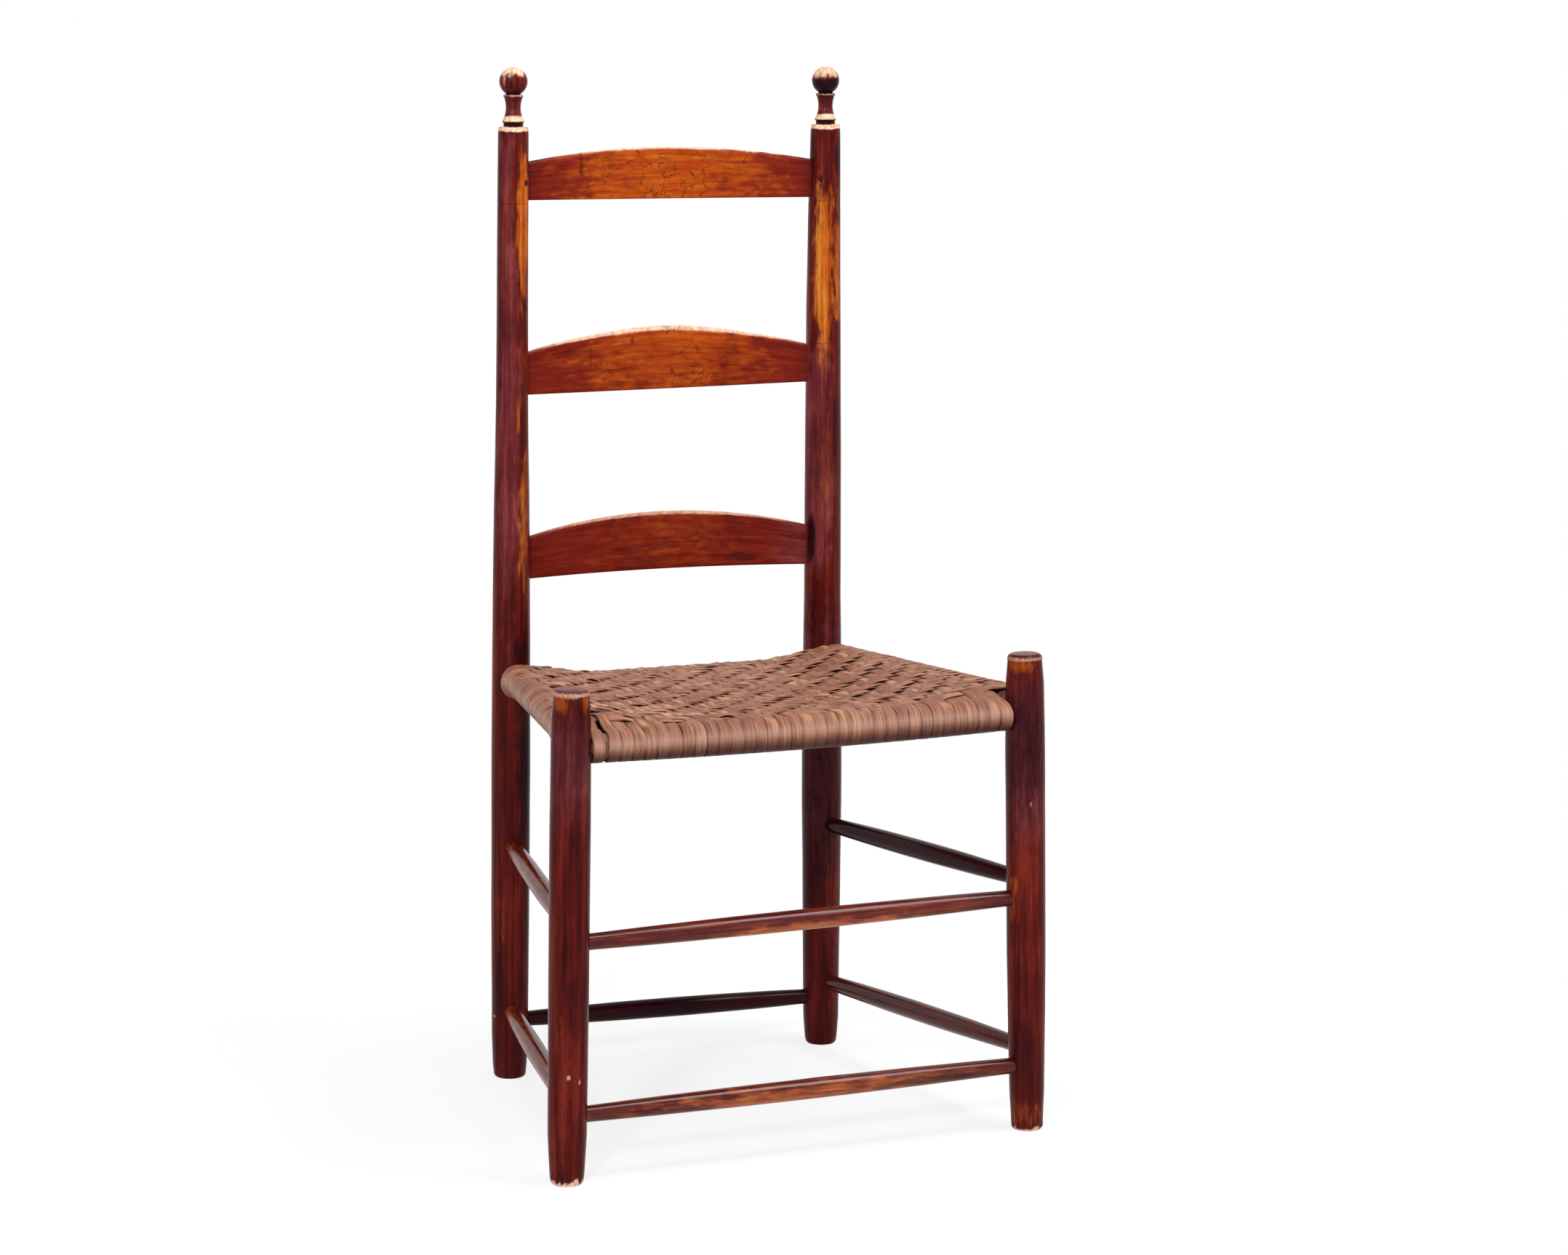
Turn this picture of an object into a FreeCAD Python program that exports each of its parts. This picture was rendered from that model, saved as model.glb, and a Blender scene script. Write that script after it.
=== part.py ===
"""Ladderback side chair: turned posts, three bent slats, round stretchers and a woven splint seat.

The frame stands on the floor with +Z up and faces -Y. The origin is on the floor, in the
middle of the chair. Left is -X, the left of someone who looks at the chair from the front.
All lengths are millimetres.
"""

import FreeCAD, Part
import math
import os

import Sketcher
from FreeCAD import Placement, Rotation, Vector

doc = FreeCAD.newDocument("ladderback_chair")

# Driving dimensions: the name of the cell, its value and what it measures.
SIZES = (
    ("rear_post_height", 1040.5, "floor to the top of the finial ball"),
    ("seat_height", 420.2, "floor to the axis of the front seat rail"),
    ("post_above_seat", 55.2, "front rail axis to the top of the left front post"),
    ("right_post_rise", 5.0, "how much higher the right front post stands"),
    ("front_foot_half_width", 244.2, "middle of the chair to a front post axis, at the floor"),
    ("front_top_half_width", 236.0, "the same at the top of the front post"),
    ("rear_foot_half_width", 176.9, "middle of the chair to a rear post axis, at the floor"),
    ("rear_top_half_width", 169.5, "the same at the top of the rear post"),
    ("front_foot_forward", 182.5, "middle of the chair forward to a front post, at the floor"),
    ("front_top_forward", 173.8, "the same at the top of the front post"),
    ("rear_foot_backward", 179.7, "middle of the chair back to a rear post, at the floor"),
    ("rear_top_backward", 179.7, "the same at the top of the rear post"),
    ("front_foot_dia", 32.6, "front post just above its worn foot"),
    ("front_ankle_dia", 37.8, "front post at the ankle"),
    ("front_swell_dia", 39.8, "front post at its thickest"),
    ("front_neck_dia", 37.8, "front post where the top begins to draw in"),
    ("front_crown_dia", 34.4, "front post at the edge of its domed top"),
    ("front_crown_flat_dia", 23.0, "flat in the middle of the domed top"),
    ("front_ankle_height", 50.0, "floor to the front ankle"),
    ("front_swell_height", 330.0, "floor to the thickest place of the front post"),
    ("front_neck_drop", 28.0, "top of the front post down to its neck"),
    ("front_crown_drop", 7.0, "top of the front post down to the edge of its dome"),
    ("rear_foot_dia", 34.0, "rear post just above its worn foot"),
    ("rear_ankle_dia", 38.0, "rear post at the ankle"),
    ("rear_swell_dia", 41.6, "rear post at its thickest, under the seat"),
    ("rear_waist_dia_left", 35.4, "left rear post between the two lower slats"),
    ("rear_waist_dia_right", 38.3, "right rear post between the two lower slats"),
    ("rear_taper_dia_left", 31.8, "left rear post between the two upper slats"),
    ("rear_taper_dia_right", 35.6, "right rear post between the two upper slats"),
    ("rear_shoulder_dia", 31.0, "rear post under the finial"),
    ("rear_ankle_height", 45.0, "floor to the rear ankle"),
    ("rear_swell_height", 315.0, "floor to the thickest place of the rear post"),
    ("rear_waist_height", 630.0, "floor to the place of the waist diameters"),
    ("rear_taper_height", 800.0, "floor to the place of the taper diameters"),
    ("foot_bevel", 2.5, "worn bevel round the bottom of each foot"),
    ("foot_trim", 0.8, "length sawn off each foot to stand it level"),
    ("shoulder_chamfer", 3.8, "height of the chamfer on the post shoulder"),
    ("shoulder_top_dia", 28.6, "top of that chamfer"),
    ("groove_dia", 20.2, "groove between the shoulder and the bell"),
    ("groove_height", 4.4, "height of that groove"),
    ("bell_dia", 22.6, "rim of the finial bell"),
    ("bell_rim_height", 2.6, "height of the bell rim"),
    ("bell_flare_height", 13.6, "bell rim up to the neck"),
    ("bell_flare_dia", 17.0, "bell halfway up its hollow flare"),
    ("neck_dia", 15.4, "finial neck"),
    ("neck_flare_height", 8.8, "neck up to the collar"),
    ("neck_swell_dia", 16.6, "neck between its waist and the collar"),
    ("collar_flare_dia", 18.8, "under side of the collar"),
    ("collar_dia", 20.6, "collar under the ball"),
    ("collar_height", 3.4, "height of the collar"),
    ("ball_seat_dia", 14.0, "where the ball meets the collar"),
    ("ball_dia", 28.6, "finial ball"),
    ("tenon_dia", 16.2, "round tenon of every stretcher and seat rail"),
    ("tenon_fit", 0.1, "play round a tenon in its hole, on the radius"),
    ("tenon_end_gap", 1.2, "tenon end to the nearest side of a crossing tenon"),
    ("hole_end_gap", 0.5, "tenon end to the bottom of its hole"),
    ("tenon_show", 1.2, "bare tenon between the post and the swell of the rod"),
    ("stretcher_dia", 20.6, "stretcher at the middle of its swell"),
    ("rail_dia", 25.0, "seat rail under the splint"),
    ("rail_shoulder", 9.0, "length of the cone from a rail to its tenon"),
    ("front_rail_tilt", 2.0, "height that the front rail gains over each half"),
    ("rear_rail_drop", 13.6, "front rail axis down to the rear rail axis"),
    ("side_rail_rise_front", 10.2, "front rail axis up to the side rail axis, at the front"),
    ("side_rail_rise_rear", 3.0, "front rail axis up to the side rail axis, at the rear"),
    ("front_upper_left", 232.0, "front upper stretcher at the left post"),
    ("front_upper_right", 236.0, "front upper stretcher at the right post"),
    ("front_lower_left", 65.0, "front lower stretcher at the left post"),
    ("front_lower_right", 65.0, "front lower stretcher at the right post"),
    ("rear_lower_left", 59.3, "rear stretcher at the left post"),
    ("rear_lower_right", 51.3, "rear stretcher at the right post"),
    ("left_upper_front", 248.0, "left upper stretcher at the front post"),
    ("left_upper_rear", 247.0, "left upper stretcher at the rear post"),
    ("left_lower_front", 77.5, "left lower stretcher at the front post"),
    ("left_lower_rear", 71.0, "left lower stretcher at the rear post"),
    ("right_upper_front", 253.0, "right upper stretcher at the front post"),
    ("right_upper_rear", 242.0, "right upper stretcher at the rear post"),
    ("right_lower_front", 82.0, "right lower stretcher at the front post"),
    ("right_lower_rear", 69.0, "right lower stretcher at the rear post"),
    ("slat_thickness", 7.6, "thickness of a slat"),
    ("slat_bow", 13.0, "how far the middle of a slat stands back"),
    ("slat_fit", 0.12, "play round a slat in its slot"),
    ("slat_end_gap", 4.0, "slat end to the axis of its post"),
    ("slat_edge_round", 1.4, "rounding of the long edges of a slat"),
    ("top_slat_drop", 33.1, "post shoulder down to the top corners of the top slat"),
    ("top_slat_end", 36.9, "height of the top slat at the posts"),
    ("top_slat_arch", 14.8, "rise of the top slat's upper edge"),
    ("top_slat_belly", -0.5, "rise of its lower edge"),
    ("top_slat_upper_tilt", -0.4, "upper right corner above the upper left one"),
    ("top_slat_lower_tilt", -1.4, "lower right corner above the lower left one"),
    ("middle_slat_shift", -1.2, "lower edge of the middle slat from halfway between the others"),
    ("middle_slat_end", 37.2, "height of the middle slat at the posts"),
    ("middle_slat_arch", 25.9, "rise of the middle slat's upper edge"),
    ("middle_slat_belly", -1.8, "rise of its lower edge"),
    ("middle_slat_upper_tilt", -1.5, "upper right corner above the upper left one"),
    ("middle_slat_lower_tilt", 3.4, "lower right corner above the lower left one"),
    ("bottom_slat_above_seat", 101.6, "front rail axis up to the lower edge of the bottom slat"),
    ("bottom_slat_end", 39.1, "height of the bottom slat at the posts"),
    ("bottom_slat_arch", 22.7, "rise of the bottom slat's upper edge"),
    ("bottom_slat_belly", 1.8, "rise of its lower edge"),
    ("bottom_slat_upper_tilt", -2.4, "upper right corner above the upper left one"),
    ("bottom_slat_lower_tilt", -0.9, "lower right corner above the lower left one"),
    ("pin_dia", 6.4, "wooden pin through the post and the end of the top slat"),
    ("pin_length", 20.0, "length of that pin"),
    ("pin_inset", 8.4, "post axis to the pin axis, towards the middle of the chair"),
    ("pin_proud", 0.4, "how far the pin stands out of the post"),
    ("pin_fit", 0.05, "play round the pin, on the radius"),
    ("splint_depth", 2.5, "two woven thicknesses of splint"),
    ("splint_fit", 0.15, "splint to the rails and the posts"),
    ("seat_sag", 4.0, "how far the middle of the seat hangs under its rails"),
    ("corner_gap", 8.0, "open corner of the woven seat beside each post"),
)

sheet = doc.addObject("Spreadsheet::Sheet", "sizes")
for row, (alias, millimetres, meaning) in enumerate(SIZES, start=1):
    sheet.set(f"A{row}", meaning)
    sheet.set(f"B{row}", str(millimetres))
    sheet.setAlias(f"B{row}", alias)
doc.recompute()

# Lengths that follow from the sheet, kept as named properties bound to its cells.
layout = doc.addObject("App::VarSet", "layout")


def derive(name, expression):
    """Bind a named length to an expression on the sheet and return how others refer to it."""
    layout.addProperty("App::PropertyFloat", name)
    layout.setExpression(name, expression)
    doc.recompute()
    return f"layout.{name}"


def value(expression):
    """Return the number that an expression on the sheet gives."""
    return float(layout.evalExpression(expression))


FRONT_TOP = derive("front_post_height", "sizes.seat_height + sizes.post_above_seat")
BALL_RISE = derive(
    "ball_rise",
    "sizes.ball_dia / 2 + sqrt((sizes.ball_dia / 2)^2 - (sizes.ball_seat_dia / 2)^2)",
)
SHOULDER = derive(
    "shoulder_height",
    "sizes.rear_post_height - layout.ball_rise - sizes.collar_height - sizes.neck_flare_height"
    " - sizes.bell_flare_height - sizes.bell_rim_height - sizes.groove_height"
    " - sizes.shoulder_chamfer",
)
TENON_END = derive("tenon_end", "sizes.tenon_dia / 2 + sizes.tenon_end_gap")

HEIGHT = {"front": FRONT_TOP, "rear": "sizes.rear_post_height"}
ALONG = {"front": ("-", "forward"), "rear": ("", "backward")}
SIDE = {"left": "-1", "right": "1"}
SEAT_DIA = {"front": "sizes.front_swell_dia", "rear": "sizes.rear_swell_dia"}


def on_post(row, side, height):
    """Return three expressions for the point of a post's axis at a height above the floor."""
    sign, way = ALONG[row]
    share = f"({height}) / ({HEIGHT[row]})"
    across = (
        f"{SIDE[side]} * (sizes.{row}_foot_half_width"
        f" + (sizes.{row}_top_half_width - sizes.{row}_foot_half_width) * {share})"
    )
    along = (
        f"{sign}(sizes.{row}_foot_{way}"
        f" + (sizes.{row}_top_{way} - sizes.{row}_foot_{way}) * {share})"
    )
    return across, along, height


def point(expressions):
    """Return the vector that three expressions give."""
    return Vector(*(value(expression) for expression in expressions))


def aim(base, towards):
    """Return the placement at one point whose Z axis looks at another."""
    return Placement(base, Rotation(Vector(0, 0, 1), towards - base))


# Two sketch points nearer than this are the same point.
SAME_POINT = 0.01


class Outline:
    """A closed outline on one plane of a body, with every corner tied to the sheet."""

    def __init__(self, body, plane, corners):
        """Draw lines, or arcs where a corner names the point that its arc passes through.

        corners is a list of (across, along) pairs of expressions. An entry with a third item,
        another such pair, is reached by an arc through that point.
        """
        self.sketch = body.newObject("Sketcher::SketchObject", f"{body.Name}_outline")
        origin_plane = next(part for part in body.Origin.OriginFeatures if part.Role == plane)
        self.sketch.AttachmentSupport = (origin_plane, [""])
        self.sketch.MapMode = "FlatFace"
        self.add_loop(corners)

    def add_loop(self, corners):
        """Add one closed loop through the corners, in order."""
        starts = corners[-1:] + corners[:-1]
        ends = []
        for start, corner in zip(starts, corners):
            begin = self.place(start)
            finish = self.place(corner)
            if len(corner) == 3:
                ends.append(self.add_arc(begin, corner[2], finish))
            else:
                edge = self.sketch.addGeometry(Part.LineSegment(begin, finish))
                ends.append(((edge, 1), (edge, 2)))
        for (_, stop), (start, _) in zip(ends, ends[1:] + ends[:1]):
            self.sketch.addConstraint(Sketcher.Constraint("Coincident", *stop, *start))
        for (_, stop), corner in zip(ends, corners):
            self.tie(stop, corner)

    def add_arc(self, begin, through, finish):
        """Add an arc through a point that is tied to the sheet and return its two ends."""
        crown = self.place(through)
        edge = self.sketch.addGeometry(Part.Arc(begin, crown, finish))
        mark = self.sketch.addGeometry(Part.Point(crown), True)
        self.tie((mark, 1), through)
        self.sketch.addConstraint(Sketcher.Constraint("PointOnObject", mark, 1, edge))
        forwards = self.sketch.getPoint(edge, 1).distanceToPoint(begin) < SAME_POINT
        return ((edge, 1), (edge, 2)) if forwards else ((edge, 2), (edge, 1))

    def tie(self, spot, pair):
        """Tie the two coordinates of a sketch point to their expressions."""
        for kind, expression in zip(("DistanceX", "DistanceY"), pair):
            distance = Sketcher.Constraint(kind, -1, 1, *spot, value(expression))
            index = self.sketch.addConstraint(distance)
            self.sketch.setExpression(f"Constraints[{index}]", expression)

    @staticmethod
    def place(corner):
        """Return the numbers of a corner."""
        return Vector(value(corner[0]), value(corner[1]), 0)


parts = {}


def keep(node, solid):
    """Give a finished sub-part its name and list it for writing."""
    solid.Label = node
    parts[node] = solid
    return solid


def turned(name, corners):
    """Return a body turned about its own Z axis from a half outline of (radius, height)."""
    body = doc.addObject("PartDesign::Body", name)
    outline = Outline(body, "XZ_Plane", corners)
    turning = body.newObject("PartDesign::Revolution", f"{name}_turning")
    turning.Profile = outline.sketch
    turning.ReferenceAxis = (outline.sketch, ["V_Axis"])
    turning.Angle = 360
    return body


def cut_from(base, tools, name):
    """Return the base with every tool cut from it."""
    joined = doc.addObject("Part::Compound", f"{name}_cutters")
    joined.Links = tools
    cut = doc.addObject("Part::Cut", name)
    cut.Base = base
    cut.Tool = joined
    return cut


def rod(name, radius, length, placement):
    """Return a plain cylinder, sized by expressions, at a placement."""
    cylinder = doc.addObject("Part::Cylinder", name)
    cylinder.setExpression("Radius", radius)
    cylinder.setExpression("Height", length)
    cylinder.Placement = placement
    return cylinder


# Rods: the name, whether it is a stretcher or a seat rail, and the post and height of each end.
SEAT = "sizes.seat_height"
RODS = (
    ("front_seat_rail", "rail", ("front", "left", f"{SEAT} - sizes.front_rail_tilt"),
     ("front", "right", f"{SEAT} + sizes.front_rail_tilt")),
    ("rear_seat_rail", "rail", ("rear", "left", f"{SEAT} - sizes.rear_rail_drop"),
     ("rear", "right", f"{SEAT} - sizes.rear_rail_drop")),
    ("left_seat_rail", "rail", ("front", "left", f"{SEAT} + sizes.side_rail_rise_front"),
     ("rear", "left", f"{SEAT} + sizes.side_rail_rise_rear")),
    ("right_seat_rail", "rail", ("front", "right", f"{SEAT} + sizes.side_rail_rise_front"),
     ("rear", "right", f"{SEAT} + sizes.side_rail_rise_rear")),
    ("front_upper_stretcher", "stretcher", ("front", "left", "sizes.front_upper_left"),
     ("front", "right", "sizes.front_upper_right")),
    ("front_lower_stretcher", "stretcher", ("front", "left", "sizes.front_lower_left"),
     ("front", "right", "sizes.front_lower_right")),
    ("rear_lower_stretcher", "stretcher", ("rear", "left", "sizes.rear_lower_left"),
     ("rear", "right", "sizes.rear_lower_right")),
    ("left_upper_stretcher", "stretcher", ("front", "left", "sizes.left_upper_front"),
     ("rear", "left", "sizes.left_upper_rear")),
    ("left_lower_stretcher", "stretcher", ("front", "left", "sizes.left_lower_front"),
     ("rear", "left", "sizes.left_lower_rear")),
    ("right_upper_stretcher", "stretcher", ("front", "right", "sizes.right_upper_front"),
     ("rear", "right", "sizes.right_upper_rear")),
    ("right_lower_stretcher", "stretcher", ("front", "right", "sizes.right_lower_front"),
     ("rear", "right", "sizes.right_lower_rear")),
)

# Cutters for the holes and slots of each post, filled as the rods and slats are made.
cutters = {(row, side): [] for row in HEIGHT for side in SIDE}


def span_between(name, start, end):
    """Return the length from one post point to another, as a named expression."""
    pairs = zip(on_post(*start), on_post(*end))
    squares = " + ".join(f"(({far}) - ({near}))^2" for near, far in pairs)
    return derive(f"{name}_span", f"sqrt({squares})")


def drill(name, post, base, towards):
    """Add the round hole for one rod end to a post's cutters."""
    start = base + (towards - base).normalize() * value(f"{TENON_END} - sizes.hole_end_gap")
    hole = rod(
        f"{name}_hole",
        "sizes.tenon_dia / 2 + sizes.tenon_fit",
        f"{SEAT_DIA[post[0]]}",
        aim(start, towards),
    )
    cutters[post].append(hole)


def make_rod(name, kind, start, end):
    """Make one stretcher or seat rail with its tenons, and drill its posts."""
    span = span_between(name, start, end)
    near = f"({SEAT_DIA[start[0]]} / 2 + sizes.tenon_show)"
    far = f"({span} - {SEAT_DIA[end[0]]} / 2 - sizes.tenon_show)"
    tenon = "sizes.tenon_dia / 2"
    if kind == "stretcher":
        middle = ("sizes.stretcher_dia / 2", f"{span} / 2")
        swell = [(tenon, near), (tenon, far, middle)]
    else:
        rail = "sizes.rail_dia / 2"
        swell = [
            (tenon, near),
            (rail, f"{near} + sizes.rail_shoulder"),
            (rail, f"{far} - sizes.rail_shoulder"),
            (tenon, far),
        ]
    first = TENON_END
    last = f"{span} - {TENON_END}"
    outline = [("0", first), (tenon, first), *swell, (tenon, last), ("0", last)]
    body = turned(name, outline)
    left_end = point(on_post(*start))
    right_end = point(on_post(*end))
    body.Placement = aim(left_end, right_end)
    drill(f"{name}_first", start[:2], left_end, right_end)
    drill(f"{name}_second", end[:2], right_end, left_end)
    return keep(name, body)


for rod_name, rod_kind, rod_start, rod_end in RODS:
    make_rod(rod_name, rod_kind, rod_start, rod_end)

# Slats: the height of the lower corners of each.
SLATS = {
    "top": f"({SHOULDER} - sizes.top_slat_drop - sizes.top_slat_end)",
    "bottom": "(sizes.seat_height + sizes.bottom_slat_above_seat)",
}
SLATS["middle"] = f"(({SLATS['top']} + {SLATS['bottom']}) / 2 + sizes.middle_slat_shift)"


def bent_board(slat, play):
    """Return a slat as a body, or the cutter for its slots when play is not zero.

    Its lower corners lie one board thickness above the start of the board that it is cut from.
    """
    use = "slot" if value(play) > 0 else "blank"
    name = f"{slat}_slat_{use}"
    lower = SLATS[slat]
    middle_height = f"{lower} + sizes.{slat}_slat_end / 2"
    across, _, _ = on_post("rear", "right", middle_height)
    end_gap = f"(sizes.slat_end_gap - {play})"
    half = derive(f"{name}_half", f"{across} - {end_gap}")
    half_thick = f"(sizes.slat_thickness / 2 + {play})"
    height = f"(sizes.{slat}_slat_end + 2 * {play})"

    body = doc.addObject("PartDesign::Body", name)
    bow = "sizes.slat_bow"
    plan = Outline(
        body,
        "XY_Plane",
        [
            (f"-{half}", f"-{half_thick}"),
            (half, f"-{half_thick}", ("0", f"{bow} - {half_thick}")),
            (half, half_thick),
            (f"-{half}", half_thick, ("0", f"{bow} + {half_thick}")),
        ],
    )
    board = body.newObject("PartDesign::Pad", f"{name}_board")
    board.Profile = plan.sketch
    base = "sizes.slat_thickness"
    crown = f"({base} + {height} + sizes.{slat}_slat_arch)"
    board.setExpression("Length", f"{crown} + {base}")

    outside = f"({half} + {base})"
    lower_lean = f"sizes.{slat}_slat_lower_tilt / 2"
    upper_lean = f"sizes.{slat}_slat_upper_tilt / 2"
    face = Outline(
        body,
        "XZ_Plane",
        [
            (f"-{outside}", f"-{base}"),
            (outside, f"-{base}"),
            (outside, f"{crown} + 2 * {base}"),
            (f"-{outside}", f"{crown} + 2 * {base}"),
        ],
    )
    face.add_loop(
        [
            (f"-{half}", f"{base} - {lower_lean}"),
            (half, f"{base} + {lower_lean}", ("0", f"{base} + sizes.{slat}_slat_belly")),
            (half, f"{base} + {height} + {upper_lean}"),
            (f"-{half}", f"{base} + {height} - {upper_lean}", ("0", crown)),
        ]
    )
    trim = body.newObject("PartDesign::Pocket", f"{name}_trim")
    trim.Profile = face.sketch
    trim.Type = "ThroughAll"
    trim.Midplane = True
    doc.recompute()
    long_edges = [
        f"Edge{number}"
        for number, edge in enumerate(trim.Shape.Edges, start=1)
        if edge.Length > value(half)
    ]
    rounding = body.newObject("PartDesign::Fillet", f"{name}_rounding")
    rounding.Base = (trim, long_edges)
    rounding.setExpression("Radius", f"sizes.slat_edge_round + {play}")
    body.Placement = Placement(
        Vector(
            0,
            value(on_post("rear", "right", middle_height)[1]),
            value(f"{lower} - {play} - {base}"),
        ),
        Rotation(),
    )
    doc.recompute()
    return body


def pin_place(side):
    """Return the placement of the pin on one side, from the front of the post backwards."""
    height = f"{SLATS['top']} + sizes.top_slat_end / 2"
    across, along, _ = on_post("rear", side, height)
    inset = f"{across} - ({SIDE[side]}) * sizes.pin_inset"
    taper = f"sizes.rear_taper_dia_{side}"
    share = f"({height} - sizes.rear_taper_height) / ({SHOULDER} - sizes.rear_taper_height)"
    post_dia = f"({taper} + (sizes.rear_shoulder_dia - {taper}) * {share})"
    skin = f"sqrt(({post_dia} / 2)^2 - sizes.pin_inset^2)"
    front = f"{along} - {skin} - sizes.pin_proud"
    base = point((inset, front, height))
    return aim(base, base + Vector(0, 1, 0))


pin_holes = []
for side in SIDE:
    pin = rod(f"top_slat_pin_{side}", "sizes.pin_dia / 2", "sizes.pin_length", pin_place(side))
    keep(f"top_slat_pin_{side}", pin)
    hole = rod(
        f"pin_hole_{side}",
        "sizes.pin_dia / 2 + sizes.pin_fit",
        "sizes.pin_length + sizes.pin_fit",
        pin_place(side),
    )
    pin_holes.append(hole)
    cutters[("rear", side)].append(hole)

for slat_name in SLATS:
    board = bent_board(slat_name, "0")
    slot = bent_board(slat_name, "sizes.slat_fit")
    for side in SIDE:
        cutters[("rear", side)].append(slot)
    if slat_name == "top":
        board = cut_from(board, pin_holes, "pinned_slat")
    keep(f"{slat_name}_slat", board)


def foot_outline(row):
    """Return the outline of a post from the middle of its foot up to the ankle."""
    foot = f"sizes.{row}_foot_dia / 2"
    return [
        ("0", "-sizes.foot_trim"),
        (f"{foot} - sizes.foot_bevel", "-sizes.foot_trim"),
        (foot, "sizes.foot_bevel"),
        (f"sizes.{row}_ankle_dia / 2", f"sizes.{row}_ankle_height"),
    ]


# The dome of a front post passes through a point at these shares of its width and its drop.
DOME_OUT = 0.8
DOME_DOWN = 0.26

# The hollows of the finial are measured at these shares of their height.
BELL_HOLLOW_AT = 0.42
NECK_HOLLOW_AT = 0.55


# How much higher each front post stands than the left one.
POST_RISE = {"left": "0", "right": "sizes.right_post_rise"}


def front_outline(side):
    """Return the half outline of a front post."""
    top = f"({FRONT_TOP} + {POST_RISE[side]})"
    crown = "sizes.front_crown_dia / 2"
    flat = "sizes.front_crown_flat_dia / 2"
    edge = f"{top} - sizes.front_crown_drop"
    dome = (
        f"{flat} + ({crown} - {flat}) * {DOME_OUT}",
        f"{top} - sizes.front_crown_drop * {DOME_DOWN}",
    )
    return foot_outline("front") + [
        ("sizes.front_swell_dia / 2", "sizes.front_swell_height"),
        ("sizes.front_neck_dia / 2", f"{top} - sizes.front_neck_drop"),
        (crown, edge),
        (flat, top, dome),
        ("0", top),
    ]


def rear_outline(side):
    """Return the half outline of a rear post, with its finial."""
    groove = f"({SHOULDER} + sizes.shoulder_chamfer)"
    bell = f"({groove} + sizes.groove_height)"
    flare = f"({bell} + sizes.bell_rim_height)"
    neck = f"({flare} + sizes.bell_flare_height)"
    collar = f"({neck} + sizes.neck_flare_height)"
    ball = f"({collar} + sizes.collar_height)"
    top = "sizes.rear_post_height"
    return foot_outline("rear") + [
        ("sizes.rear_swell_dia / 2", "sizes.rear_swell_height"),
        (f"sizes.rear_waist_dia_{side} / 2", "sizes.rear_waist_height"),
        (f"sizes.rear_taper_dia_{side} / 2", "sizes.rear_taper_height"),
        ("sizes.rear_shoulder_dia / 2", SHOULDER),
        ("sizes.shoulder_top_dia / 2", groove),
        ("sizes.groove_dia / 2", groove),
        ("sizes.groove_dia / 2", bell),
        ("sizes.bell_dia / 2", bell),
        ("sizes.bell_dia / 2", flare),
        ("sizes.neck_dia / 2", neck,
         ("sizes.bell_flare_dia / 2", f"{flare} + sizes.bell_flare_height * {BELL_HOLLOW_AT}")),
        ("sizes.collar_flare_dia / 2", collar,
         ("sizes.neck_swell_dia / 2", f"{neck} + sizes.neck_flare_height * {NECK_HOLLOW_AT}")),
        ("sizes.collar_dia / 2", collar),
        ("sizes.collar_dia / 2", ball),
        ("sizes.ball_seat_dia / 2", ball),
        ("0", top, ("sizes.ball_dia / 2", f"{top} - sizes.ball_dia / 2")),
    ]


OUTLINES = {"front": front_outline, "rear": rear_outline}

# The line where a turned surface closes faces outwards, away from the holes.
SEAM_OUTWARDS = {
    "left": Rotation(Vector(0, 0, 1), 180),
    "right": Rotation(),
}

# The feet are sawn level: a block under the floor trims the leaning posts.
FLOOR_HALF = "(2 * sizes.front_foot_half_width)"
floor_block = doc.addObject("Part::Box", "under_floor")
for side_length in ("Length", "Width"):
    floor_block.setExpression(side_length, f"2 * {FLOOR_HALF}")
floor_block.setExpression("Height", "sizes.rear_foot_dia")
floor_corner = Vector(-value(FLOOR_HALF), -value(FLOOR_HALF), -value("sizes.rear_foot_dia"))
floor_block.Placement = Placement(floor_corner, Rotation())


def make_post(row, side):
    """Make one post with its holes and slots, leaning as the frame leans."""
    name = f"{row}_post_{side}"
    body = turned(f"{name}_blank", OUTLINES[row](side))
    foot = point(on_post(row, side, "0"))
    top = point(on_post(row, side, HEIGHT[row]))
    body.Placement = aim(foot, top).multiply(Placement(Vector(), SEAM_OUTWARDS[side]))
    post = cut_from(body, cutters[(row, side)] + [floor_block], f"{name}_drilled")
    return keep(name, post)


for post_row, post_side in cutters:
    make_post(post_row, post_side)

# Splint: a wrap round the outer half of each rail, and a web over and under them.
RAIL_INSIDE = "(sizes.rail_dia / 2 + sizes.splint_fit)"
RAIL_OUTSIDE = f"({RAIL_INSIDE} + sizes.splint_depth)"


def make_wrap(name, start, end, outward):
    """Make the splint that goes round the outer half of one seat rail."""
    span = f"layout.{name}_seat_rail_span"
    begin = f"({SEAT_DIA[start[0]]} / 2 + sizes.splint_fit)"
    finish = f"({SEAT_DIA[end[0]]} / 2 + sizes.splint_fit)"
    length = f"{span} - {begin} - {finish}"
    near = point(on_post(*start))
    far = point(on_post(*end))
    along = (far - near).normalize()
    base = near + along * value(begin)
    upwards = Vector(0, 0, 1)
    first_side = upwards if along.cross(upwards).dot(outward) > 0 else -upwards
    turn = Rotation(first_side, Vector(0, 0, 0), along, "ZXY")
    halves = []
    for radius, use in ((RAIL_OUTSIDE, "outer"), (RAIL_INSIDE, "inner")):
        half = rod(f"{name}_wrap_{use}", radius, length, Placement(base, turn))
        half.Angle = 180
        halves.append(half)
    wrap = doc.addObject("Part::Cut", f"{name}_wrap")
    wrap.Base, wrap.Tool = halves
    return keep(f"splint_wrap_{name}", wrap)


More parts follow.
